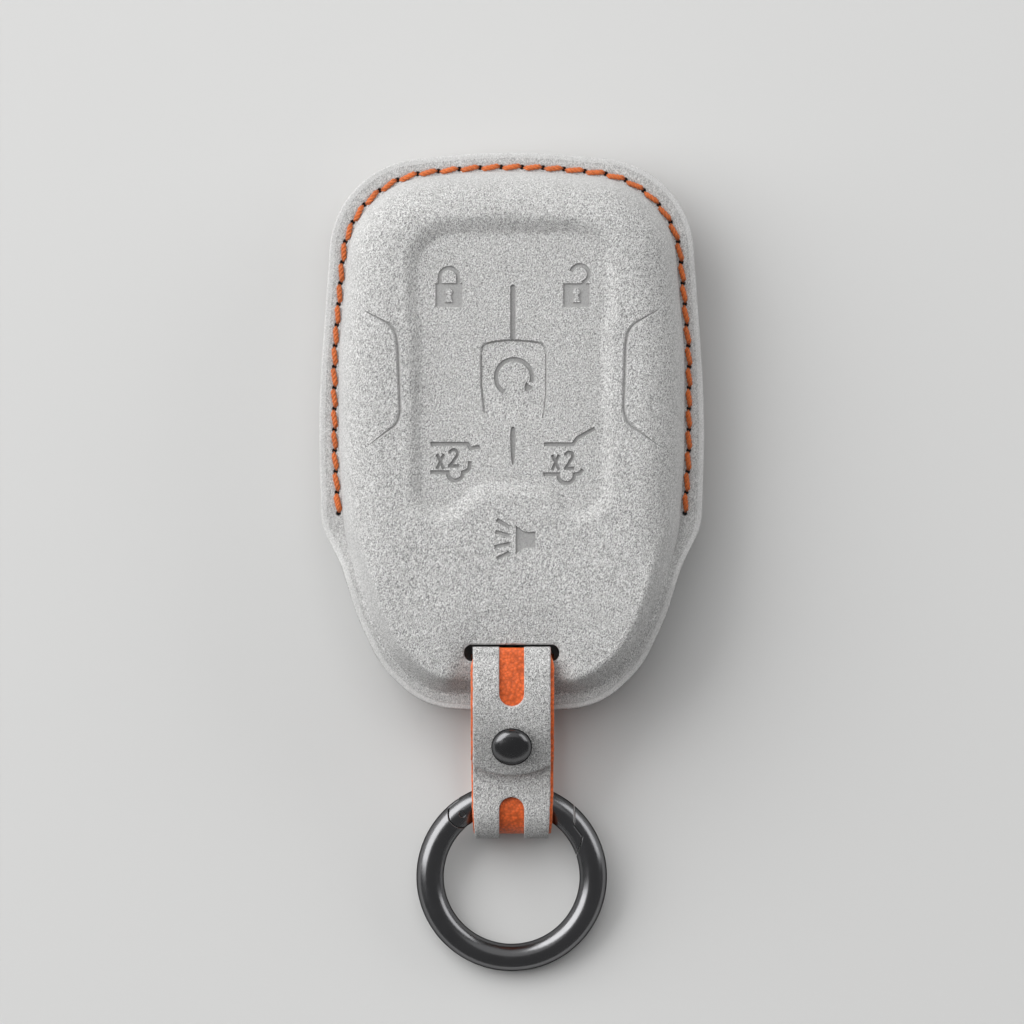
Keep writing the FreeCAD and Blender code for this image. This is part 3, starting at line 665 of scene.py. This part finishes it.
def mark_shapes():
    """Pressed marks: lists of (loops, islands left standing, depth, how dark the floor is)."""
    wide, thin = mark_stroke * photo_scale, count_stroke * photo_scale

    def bow(x, y, radius, start, end, steps=28):
        return arc(at(x, y), radius * photo_scale, start, end, steps)

    def box(left, top, right, low):
        return pixels((left, low), (right, low), (right, top), (left, top))

    def keyhole(x, y):
        foot = pixels((x - keyhole_half, y + keyhole_drop), (x + keyhole_half, y + keyhole_drop))
        return anticlockwise(np.concatenate([bow(x, y, keyhole_radius, -62, 242), foot]))

    def count_mark(cross, two):
        """Plain count of two presses, from the boxes of its two signs."""
        half = count_stroke / 2
        (left, top, right, low), (x, y, end, foot) = cross, two
        radius = (end - x) / 2 - half
        hook = bow((x + end) / 2, y + half + radius, radius, 175, -38, 14)
        return [
            stroke(pixels((left + half, top), (right - half, low)), thin),
            stroke(pixels((right - half, top), (left + half, low)), thin),
            stroke(np.concatenate([hook, pixels((x + 1.2 * half, foot - half))]), thin),
            stroke(pixels((x, foot - half), (end, foot - half)), thin),
        ]

    def wheel(left, y, x, radius, after):
        arch = bow(x, y + 0.6, radius, 176, 364, 20)
        return stroke(np.concatenate([pixels((left, y)), arch, pixels(*after)]), wide)

    def tile_drop(places):
        """Depth of the tile, which runs out at its lower end."""
        return tile_depth * eased((places[:, 1] - at(0, tile_end)[1]) / (tile_fade * photo_scale))

    lock_bow = [pixels((440, 286)), bow(449.2, 277.3, 9.15, 180, 0), pixels((458.3, 286))]
    open_bow = [bow(579.7, 274.2, 8.9, 162, -62), pixels((582.6, 286))]
    lock = [stroke(np.concatenate(lock_bow), wide), box(435.8, 283.5, 462.6, 306.8)]
    unlock = [stroke(np.concatenate(open_bow), wide), box(563.3, 283.7, 589.4, 306.8)]
    arrow = pixels((525.8, 380.8), (528.5, 384.6), (534.3, 387.3), (524.2, 392.8))
    turn = [
        stroke(bow(514.05, 377, 17.95, 237, -16, 48), turn_stroke * photo_scale),
        softened(anticlockwise(arrow), 1),
    ]
    hatch_shut = [
        stroke(pixels((431, 443.4), (467.6, 443.4), (471, 448), (480, 446.2)), wide),
        wheel(430.8, 471.7, 455.6, 7.6, [(467.3, 470.6), (469.8, 467.4), (470.0, 460.8)]),
    ]
    hatch_open = [
        stroke(pixels((544.1, 443.9), (572.9, 443.9), (577.2, 437.6), (594.4, 428.1)), wide),
        wheel(543.4, 473.8, 566.3, 8.2, [(579.6, 473.0), (582.4, 468.8)]),
    ]
    shut_count = count_mark((435.9, 453.9, 445.7, 468.3), (448.5, 447.9, 459.4, 466.9))
    open_count = count_mark((550.7, 454.5, 560.5, 469.4), (563.9, 450.2, 574.2, 469.2))
    horn_edge = pixels(
        (516, 525), (522.8, 530.2), (527.6, 531.6), (535.4, 530.9), (535.4, 546.9), (527.6, 546.7),
        (522.8, 548.2), (516, 552.8),
    )
    rays = [
        ((510, 526.4), (497, 519)), ((509.5, 534.8), (495.5, 531)), ((510, 542.8), (494.8, 546)),
        ((509.4, 551.4), (497, 558)),
    ]
    horn = [anticlockwise(horn_edge)] + [stroke(pixels(*ray), ray_stroke * photo_scale) for ray in rays]
    lower_divider = pixels(
        (510.4, 426.4), (515.6, 426.4), (515.5, 446), (514.1, 464), (511.9, 464), (510.5, 446),
    )
    dividers = [
        stroke(pixels((513, 287.4), (513, 337.6)), divider_stroke * photo_scale, True),
        softened(lower_divider, 2),
    ]
    tile_path = pixels(
        (486.2, 425), (484.6, 412), (482.5, 398), (481.3, 386), (480.9, 350), (484.2, 343.8), (497, 341),
        (513, 339.8), (530, 341.2), (542.2, 343), (546.4, 349.5), (546.3, 392), (545, 407), (543, 418),
        (540, 425),
    )
    tile_bends = [0] + [tile_corner] * (len(tile_path) - 4) + [0]
    tile_line = rounded(tile_path[1:-1], tile_bends, False, score_spacing)[0]
    return [
        (lock, [keyhole(449.3, 291.9)], mark_depth, lock_floor),
        (unlock, [keyhole(576.4, 291.9)], mark_depth, lock_floor),
        (turn, [], mark_depth, turn_floor),
        (hatch_shut, [], mark_depth, hatch_floor),
        (hatch_open, [], mark_depth, hatch_floor),
        (shut_count, [], count_depth, count_floor),
        (open_count, [], count_depth, count_floor),
        (horn, [], mark_depth, horn_floor),
        (dividers, [], divider_depth, divider_floor),
        ([softened(tile_path, 2)], [], tile_drop, 0.0),
        ([stroke(tile_line, tile_score)], [], score_depth, score_floor),
    ]


marks = mark_shapes()
grooves = [
    rounded(pixels(*line), groove_bends, False, curve_spacing)[0] for line in (groove_left, groove_right)
]


def groove_size(share):
    return np.clip(groove_taper * np.minimum(share, 1 - share), groove_least, 1)


def pressed_panel(places):
    """Drop of the sunk panel and of the dip above the slot."""
    wall = panel_wall + (panel_top_wall - panel_wall) * eased((places[:, 1] - panel_top_y) / panel_wall)
    share = np.clip(depth_in(places, panel) / wall + 0.5, 0, 1)
    drop = panel_depth * (eased(share) + share * share) / 2
    return drop + dip_depth * eased(depth_in(places, dip) / dip_wall + 0.5)


def near_walls(places):
    """Which places are near the walls of the panel and the dip, where the grid is fine."""
    return (abs(depth_in(places, panel)) < panel_reach) | (abs(depth_in(places, dip)) < dip_reach)


def sunk(places):
    """How far the front face is sunk at each place, and how smooth and dark its floor is made there, with
    painted shade where a mark's floor value passes 1.
    """
    drop = pressed_panel(places)
    pressed = np.zeros(len(places))
    for line in grooves:
        away, share = gap_to(places, line, False)
        size = groove_size(share)
        hollow = np.clip(1 - away / (groove_half * size), 0, 1)
        drop += groove_depth * size * hollow
        pressed = np.maximum(pressed, hollow)
    for loops, islands, depth, floor in marks:
        within = np.zeros(len(places), bool)
        for loop in loops:
            within |= inside(places, loop)
        for island in islands:
            within &= ~inside(places, island)
        drop += np.where(within, depth(places) if callable(depth) else depth, 0)
        pressed = np.maximum(pressed, np.where(within, floor, 0))
    return drop, pressed


slot_half, slot_low = slot_width / 2, slot_edge - slot_height
slot_corners = [
    (-slot_half, slot_low), (slot_half, slot_low), (slot_half, slot_edge), (-slot_half, slot_edge),
]
slot_loop = rounded(slot_corners, [slot_corner] * 4, True, curve_spacing)[0]


def seam_line():
    """Stitch holes from the seam's right end over the top to its left end, their normals, and the seam."""
    line = dome - stitch_outset * dome_in
    away = abs(line[:, 1] - stitch_end)
    start, end = (np.argmin(np.where(side * line[:, 0] > 0, away, far_off)) for side in (1, -1))
    line, normal = line[start:end + 1], dome_in[start:end + 1]
    run = run_along(line)
    stops = np.linspace(0, run[-1], round(run[-1] / stitch_pitch) + 1)
    places, normals = (np.column_stack(sampled(stops, run, rows)) for rows in (line, normal))
    return places, normals, line


holes, hole_normals, seam = seam_line()


class Half:
    """One half of the cover: side is 1 for the front and -1 for the back, heights are from the seam."""

    def __init__(self, side, height, shoulder, roll_start):
        self.side, self.height, self.shoulder, self.roll_start = side, height, shoulder, roll_start

    def flange(self, y):
        return flange_thickness + lift(y)

    def crown(self, flat):
        """Height of the face, which rolls down to the mouth, most of all under the strap."""
        over = np.clip(self.roll_start - flat[:, 1], 0, roll_most * roll_radius)
        share = 1 - (1 - side_roll) * eased((abs(flat[:, 0]) - strap_side) / strap_run)
        return self.height - share * (roll_radius - np.sqrt(roll_radius**2 - over**2))

    def place(self, flat, height):
        return np.column_stack([flat, seam_z + self.side * height])

    def rise(self, flat, inset, share):
        """Height of the dome where it has gone a share of the way from its foot to its face."""
        soft = eased((lift_start - flat[:, 1]) / lift_run)
        profile = (1 - soft) * np.sqrt(1 - (1 - share) ** 2) + soft * eased(share / soft_width)
        foot = self.flange(flat[:, 1]) - inset
        return foot + (self.crown(flat) - inset - foot) * profile

    def wall(self, turn, inset):
        """Ring of the domed wall at one turn of its quarter ellipse."""
        share = 1 - math.cos(turn)
        flat = dome + (inset + (self.shoulder - inset) * share) * dome_in
        return self.place(flat, self.rise(flat, inset, share))

    def face(self, flat, inset):
        """Heights of the domed face inside its wall."""
        share = np.clip((depth_in(flat, dome) - inset) / (self.shoulder - inset), 0, 1)
        return self.rise(flat, inset, share)

    def above(self, places, level):
        """Places kept at or over a level below the flange."""
        height = np.maximum(self.side * (places[:, 2] - seam_z), self.flange(places[:, 1]) - level)
        return self.place(places[:, :2], height)


def inner_side(shell, half, edge, inset, level, relief):
    """One side of a sheet inside a half: wall and slotted face at an inset, and flange at a level."""
    rings = [half.wall(t, inset) for t in np.linspace(0, wall_turn, wall_rings)[::2]]
    if edge is not None:
        rings = [half.above(ring, level) for ring in rings]
        foot = rings[0][:, :2]
        flat, faces = triangulate([edge, foot], [], [], between(edge, [foot]))
        shell.add(half.place(flat, half.flange(flat[:, 1]) - level), faces)
    shell.rings(rings)
    border = rings[-1][:, :2]
    places = grid(border, 2 * coarse_grid)
    room = depth_in(places, border) > sheet_margin
    places = places[room & (depth_in(places, slot_loop) < -sheet_margin)]
    flat, faces = triangulate([border, slot_loop], [], places, between(border, [slot_loop]))
    height = half.face(flat, inset) - (pressed_panel(flat) if relief else 0)
    height[:len(border)] = half.side * (rings[-1][:, 2] - seam_z)
    shell.add(half.place(flat, height), faces)
    rim = rings[0] if edge is None else half.place(edge, half.flange(edge[:, 1]) - level)
    return half.place(slot_loop, height[len(border):len(border) + len(slot_loop)]), rim


def inner_sheet(name, half, relief, edge, insets, levels, material, stands_for):
    """Thin sheet under the suede of one half."""
    shell = Shell()
    (mouth, rim), (low_mouth, low_rim) = (
        inner_side(shell, half, edge, inset, level, relief) for inset, level in zip(insets, levels)
    )
    shell.rings([mouth, low_mouth])
    shell.rings([rim, low_rim])
    piece = make_piece(name, shell, material)
    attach(piece, "cover")
    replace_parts(piece, stands_for)


def cover_skin(name, half, relief):
    """Suede of one half: domed face, wall, flange with stitch holes, edge and underside."""
    shell = Shell()
    turns = np.linspace(0, wall_turn, wall_rings)
    wall = [half.wall(t, 0) for t in turns]
    upper = eased((wall[0][:, 1] - smooth_low) / smooth_run)
    smooth = np.interp(turns, smooth_turns, smooth_shares)[:, None] * upper
    shell.rings(wall, each=True, smooth=smooth.ravel())

    # Domed face with the slot
    border, mouth = wall[-1][:, :2], grow(slot_loop, slot_soft)
    places = grid(border, coarse_grid)
    loops, lines = [border, mouth], []
    if relief:
        fine = grid(border, fine_grid)
        places = np.concatenate([places[~near_walls(places)], fine[near_walls(fine)]])
        for outer, islands, _, _ in marks:
            for loop in outer + islands:
                loops += [grow(loop, mark_wall / 2), grow(loop, -mark_wall / 2)]
        for line in grooves:
            ahead = units(np.gradient(line, axis=0))
            side = np.stack([-ahead[:, 1], ahead[:, 0]], 1)
            width = (groove_half * groove_size(np.linspace(0, 1, len(line))))[:, None]
            strips = [line, line + side * width, line - side * width]
            lines += [strip[depth_in(strip, border) > face_margin] for strip in strips]
    room = depth_in(places, border) > face_margin
    places = places[room & (depth_in(places, mouth) < -face_margin)]
    flat, faces = triangulate(loops, lines, places, between(border, [mouth]))
    drop, pressed = sunk(flat) if relief else (np.zeros(len(flat)), 0.0)
    height = half.face(flat, 0) - drop
    height[:len(border)] = half.side * (wall[-1][:, 2] - seam_z)
    height_of_mouth = height[len(border):len(border) + len(mouth)]
    shell.add(half.place(flat, height), faces, pressed=pressed)

    # Flange with its edge band, stitch channel and holes
    step = rim_step * eased((lift_start - outline[:, 1]) / lift_run) if relief else np.zeros(len(outline))
    edge = outline + step[:, None] * outline_in
    rim = edge + edge_round * outline_in
    ring = circle((0, 0), hole_radius, hole_steps)
    loops = [rim, dome, edge + band_width * outline_in, edge + (band_width + band_step) * outline_in]
    for hole in holes:
        loops += [hole + ring, hole + hole_floor * ring]
    places = np.concatenate([outline + row * outline_in for row in flange_rows])
    places = places[(depth_in(places, rim) > rim_margin) & (depth_in(places, dome) < -foot_margin)]
    flat, faces = triangulate(loops, [], places, between(rim, [dome]))
    inner = gap_to(flat, edge, True)[0]
    drop = band_drop * np.clip(1 - inner / band_width, 0, 1) ** 2
    drop += crease_depth * np.exp(-((inner - band_width) / crease_half) ** 2)
    drop += channel_depth * eased(1 - gap_to(flat, seam, False)[0] / channel_reach)
    # Stitch pits are painted in deep shade; the rest of the flange is darkened a little, as flattened suede
    # with painted shade
    away = np.min([norm(flat - h, axis=1) for h in holes], 0)
    pit = away < pit_share * hole_radius
    drop += np.where(pit, hole_depth, 0)
    smooth = np.where(inner < band_width + band_margin, band_smooth, flange_smooth)
    pressed = np.where(pit, pit_dark, flange_press_and_shade * (band_smooth + flange_smooth - smooth))
    height = half.flange(flat[:, 1]) - drop
    shell.add(half.place(flat, height), faces, smooth=smooth, pressed=pressed)

    # Rounded edge down to the underside
    top = half.flange(rim[:, 1]) - band_drop * (1 - edge_round / band_width) ** 2
    top = top - crease_depth * math.exp(-((edge_round - band_width) / crease_half) ** 2)
    low = half.flange(edge[:, 1]) - suede_thickness
    rings = [half.place(rim, top)]
    for turn in np.linspace(0, math.pi / 2, 5)[1:]:
        flat = edge + edge_round * (1 - math.sin(turn)) * outline_in
        rings.append(half.place(flat, top - edge_round * (1 - math.cos(turn))))
    rings.append(half.place(edge, low))
    shell.rings(rings, smooth=1.0)

    # Underside and slot walls
    under = inner_side(shell, half, edge, suede_thickness, suede_thickness, relief)[0]
    lip = half.place(mouth, height_of_mouth)
    shell.rings([lip, half.place(slot_loop, height_of_mouth - slot_soft), under], smooth=1.0)
    piece = make_piece(name, shell, suede)
    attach(piece, "cover")
    return piece


front = Half(1, front_height, front_shoulder, front_roll_start)
rear = Half(-1, rear_height, rear_shoulder, rear_roll_start)
lining_edge = outline + lining_step * outline_in
for name, half, relief in (("front", front, True), ("rear", rear, False)):
    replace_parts(cover_skin(name + "_skin", half, relief), name + "_suede")
    inner_sheet(name + "_core_sheet", half, relief, None, core_insets, (0, 0), core, name + "_core")
    inner_sheet(
        name + "_lining_sheet", half, relief, lining_edge, lining_insets, lining_levels, lining,
        name + "_lining",
    )


# Stitches
def tube(shell, line, radius, sides, axis):
    """Closed round tube along a line of points, with painted shade towards the axis of the thread, between
    its strands.
    """
    ahead = units(np.gradient(line, axis=0))
    across = units(np.cross(ahead, [0.0, 0.0, 1.0]))
    above = np.cross(across, ahead)
    angles = np.linspace(0, 2 * math.pi, sides, endpoint=False)[:, None]
    cosines, sines = radius * np.cos(angles), radius * np.sin(angles)
    rings = [p + (cosines * a + sines * b) for p, a, b in zip(line, across, above)]
    away = np.concatenate([norm(ring - a, axis=1) for ring, a in zip(rings, axis)])
    shell.rings(rings, pressed=1 - eased((away / radius - crevice_shade_reach) / crevice_shade_fade), each=True)
    first, last = shell.count - len(line) * sides, shell.count - sides
    shell.faces += [tuple(range(first, first + sides)), tuple(range(last, last + sides))]


def stitches(name, half, slot_node):
    """Twisted thread from hole to hole on one side of the seam."""
    shell = Shell()
    for k in range(len(holes) - 1):
        last = k == len(holes) - 2
        ahead = stitch_short * unit(holes[k + 1] - holes[k])
        a = holes[k] - stitch_slant * hole_normals[k] + ahead
        b = holes[k + 1] + stitch_slant * hole_normals[k + 1] - ahead
        t = np.linspace(stitch_trim, 1 - stitch_trim, strand_steps)
        flat = a + t[:, None] * (b - a)
        along = unit(b - a)
        turns = t * norm(b - a) / strand_pitch
        base = half.flange(flat[:, 1]) - channel_depth
        arch = np.sqrt(np.clip(1 - np.abs(2 * t - 1) ** stitch_power, 0, 1))
        height = base - stitch_dive + (stitch_dive + stitch_rise) * arch
        swell = strand_helix * (strand_taper + (1 - strand_taper) * arch) * (last_bulge if last else 1)
        strands = strand_count + last
        for strand in range(strands):
            turn = 2 * math.pi * (turns + strand / strands) + stitch_phase * k
            sway, rise = swell * np.cos(turn), swell * np.sin(turn)
            line = half.place(flat + sway[:, None] * left_of(along), height + rise)
            tube(shell, line, strand_radius, strand_sides, half.place(flat, height))
    piece = make_piece(name, shell, thread, thread_sharp_angle)
    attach(piece, "cover")
    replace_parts(piece, slot_node)


stitches("needle_stitches", front, "needle_thread")
stitches("bobbin_stitches", rear, "bobbin_thread")


# Strap
class Route:
    """A strap's route: places by length along it, width across it and height above it."""

    def __init__(self, points, bends, thinned):
        self.line, self.normal = rounded(points, bends, False, route_spacing)
        self.thinned = thinned
        self.along = run_along(self.line)
        self.length = self.along[-1]

    def lay(self, flat, height):
        s, w = flat[:, 0], flat[:, 1]
        y, z = sampled(s, self.along, self.line)
        ny, nz = sampled(s, self.along, self.normal)
        size = np.hypot(ny, nz)
        if self.thinned:
            height = height * (1 - (1 - thin_share) * eased((y - thin_start) / (thin_end - thin_start)))
        return np.column_stack([w, y + height * ny / size, z + height * nz / size])

    def where(self, y, first, last):
        """Length along the route, between two shares of it, where it comes nearest to y."""
        span = (self.along >= first * self.length) & (self.along <= last * self.length)
        return self.along[np.argmin(np.where(span, abs(self.line[:, 0] - y), far_off))]


def drawn(points, spacing):
    """Closed loop with its straight runs divided."""
    found = []
    for a, b in zip(points, np.roll(points, -1, 0)):
        steps = max(1, math.ceil(norm(b - a) / spacing))
        found.append(a + (b - a) * np.arange(steps)[:, None] / steps)
    return np.concatenate(found)


def wobbled(loop):
    """Loop with the slight waver of a hand cut edge."""
    s, w = loop[:, 0], loop[:, 1]
    side = np.sign(w)
    waver = sum(size * np.sin(rate * s + phase * side) for size, rate, phase in edge_waves)
    return np.column_stack([s, w + edge_wobble * waver * side])


def narrowed(loop, route):
    """Loop drawn in where the strap turns back round the ring."""
    fold = route.where(far_y, 0, 1)
    pull = fold_narrow / suede_half * np.exp(-((loop[:, 0] - fold) / fold_reach) ** 2)
    return np.column_stack([loop[:, 0], loop[:, 1] * (1 - pull)])


def tapered(loop, route):
    """Liner's loop, a little off centre and narrower towards the tip and in the slot."""
    share = 1 - liner_taper * (1 - loop[:, 0] / route.length)
    share -= slot_draw * eased((loop[:, 0] - route.where(slot_draw_y, 0, 1)) / slot_draw_run)
    return np.column_stack([loop[:, 0], loop[:, 1] * share + liner_shift])


def strap_layer(name, route, loops, low, high, material, slot):
    """One layer of the strap, cut to its loops, with soft upper edges."""
    shell = Shell()
    outer, cuts = loops[0], loops[1:]
    tops = [grow(outer, -edge_soft)] + [grow(cut, edge_soft) for cut in cuts]
    for edges, height in ((tops, high), (loops, low)):
        places = grid(outer, strap_grid)
        room = between(grow(edges[0], -strap_margin), [grow(cut, strap_margin) for cut in edges[1:]])
        flat, faces = triangulate(edges, [], places[room(places)], between(edges[0], edges[1:]))
        shell.add(route.lay(flat, height), faces)
    for loop, top in zip(loops, tops):
        middle = ((1 - edge_share) * loop + edge_share * top, high - edge_share * edge_soft)
        rings = [(loop, low), (loop, high - edge_soft), middle, (top, high)]
        shell.rings([route.lay(flat, height) for flat, height in rings], smooth=edge_smooth)
    return make_piece(name, shell, material)


def end_arc(half, length):
    """Strap end outline: a rounded tip at 0 and a straight end at length."""
    across = np.linspace(-half, half, tip_steps)
    tip = np.column_stack([tongue_round - np.sqrt(tongue_round**2 - across**2), across])[::-1]
    return anticlockwise(drawn(np.vstack([tip, [[length, -half], [length, half]]]), edge_spacing))


def straight(half, length):
    return drawn(np.array([[0, -half], [length, -half], [length, half], [0, half]]), edge_spacing)


def cut_round(start, end, round_end):
    """Punched slot along the strap, with a round start and, where asked, a round end."""
    left = arc((start + cutout_half, 0), cutout_half, 90, 270, bow_steps)
    right = [[end, -cutout_half], [end, cutout_half]]
    if round_end:
        right = arc((end - cutout_half, 0), cutout_half, -90, 90, bow_steps)
    return drawn(np.vstack([right, left]), cut_spacing)


tongue_route, loop_route = Route(tongue_points, tongue_bends, True), Route(loop_points, loop_bends, False)
tongue_end, loop_end = tongue_route.length, loop_route.length

# Buttonhole: a slit and a round neck, whose arc has its two ends in the slit, where they are left out
neck = arc((stud_run, 0), stud_hole, -stud_turn, stud_turn, stud_steps)[1:-1]
slit = [[stud_run - slit_length, slit_half], [stud_run - slit_length, -slit_half]]
buttonhole = anticlockwise(np.vstack([neck, slit]))

# Cuts and edges of the layers, by length along their routes
upper_start, upper_end = tongue_route.where(upper_cutout_y, 0, 0.6), tongue_end - upper_cutout_rest
back_cut, front_cut = loop_route.where(lower_cutout_y, 0, 0.5), loop_route.where(lower_cutout_y, 0.6, 1)
upper_cut = cut_round(upper_start, upper_end, False)
lower_cut = cut_round(back_cut, front_cut, True)
screw_loop = circle((loop_route.where(screw_y, 0.7, 1), 0), screw_hole, screw_steps)
tongue_edge = wobbled(end_arc(suede_half, tongue_end))
tongue_liner_edge = tapered(wobbled(end_arc(tongue_liner_half, tongue_end)), tongue_route)
loop_edge = narrowed(wobbled(straight(suede_half, loop_end)), loop_route)
loop_liner_edge = narrowed(wobbled(straight(loop_liner_half, loop_end)), loop_route) + (0, liner_shift)

# Each layer with the node that it stands for
suede_layer, liner_layer = (0, layer_thickness, suede, "suede"), (-layer_thickness, 0, orange, "strap_liner")
layers = [
    ("tongue_strap_suede", "tongue_suede", tongue_route, [tongue_edge, buttonhole, upper_cut], suede_layer),
    ("tongue_strap_liner", "tongue_liner", tongue_route, [tongue_liner_edge, buttonhole], liner_layer),
    ("loop_strap_suede", "strap_suede", loop_route, [loop_edge, lower_cut, screw_loop], suede_layer),
    ("loop_strap_liner", "strap_liner", loop_route, [loop_liner_edge, screw_loop], liner_layer),
]
for name, stands_for, route, loops, layer in layers:
    made = strap_layer(name, route, loops, *layer)
    if route is tongue_route:
        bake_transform(made, "cover", "tongue", blend_start, blend_end)
    else:
        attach(made, "cover")
    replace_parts(made, stands_for)


# Carried-over solids
def dress(name, material):
    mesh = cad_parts[name].data
    mesh.materials.clear()
    mesh.materials.append(material)


for name in ("ring_gate", "ring_frame", "gate_pin", "stud_screw"):
    dress(name, gunmetal)
dress("stud_ball", ball_metal)
dress("gate_spring", steel)


# Floor, light and camera, in metres
floor_reach, floor_drop, floor_colour, floor_roughness = 1.5, 5e-5, (0.64, 0.64, 0.632, 1), 0.8
world_colour = (0.135, 0.135, 0.138, 1)
aim, low_aim = (0, -0.01, 0.01), (0, -0.02, 0.01)
camera_place, camera_sensor, camera_lens, camera_clip = (0.00005, -0.01248, 6.012), 36.0, 1347.0, (0.1, 20)


def floor():
    mesh = bpy.data.meshes.new("floor")
    sides = (-1, -1), (1, -1), (1, 1), (-1, 1)
    corners = [(x * floor_reach, y * floor_reach, -floor_drop) for x, y in sides]
    mesh.from_pydata(corners, [], [(0, 1, 2, 3)])
    material, _, shader = nodes_of("floor_pale")
    shader.inputs["Base Color"].default_value = floor_colour
    shader.inputs["Roughness"].default_value = floor_roughness
    mesh.materials.append(material)
    placed("floor", mesh)


def softbox(name, place, target, size, power, mirrored=True):
    """Soft light. One that isn't mirrored doesn't show in the metal."""
    light = bpy.data.lights.new(name, "AREA")
    light.shape, light.size, light.size_y, light.energy = "RECTANGLE", size[0], size[1], power
    made = placed(name, light)
    made.location = place
    made.rotation_mode = "QUATERNION"
    made.rotation_quaternion = (Vector(target) - Vector(place)).to_track_quat("-Z", "Y")
    made.visible_camera, made.visible_glossy = False, mirrored


floor()
softbox("top_softbox", (-0.4, 0.72, 2.02), aim, size=(2.4, 2.0), power=21.0, mirrored=False)
softbox("top_card", (-0.22, 1.24, 1.8), aim, size=(3.0, 2.4), power=8.0)
softbox("key_softbox", (-1.12, 0.6, 0.79), aim, size=(1.9, 1.4), power=25.5)
softbox("side_softbox", (1.28, 0.6, 0.51), low_aim, size=(1.3, 0.85), power=6.5)
world = bpy.data.worlds.new("studio")
world.use_nodes = True
world.node_tree.nodes["Background"].inputs["Color"].default_value = world_colour
scene.world = world

camera = bpy.data.cameras.new("camera")
camera.sensor_width, camera.lens = camera_sensor, camera_lens
camera.clip_start, camera.clip_end = camera_clip
viewer = placed("camera", camera)
viewer.location = camera_place
scene.camera = viewer
scene.view_settings.view_transform = "Standard"
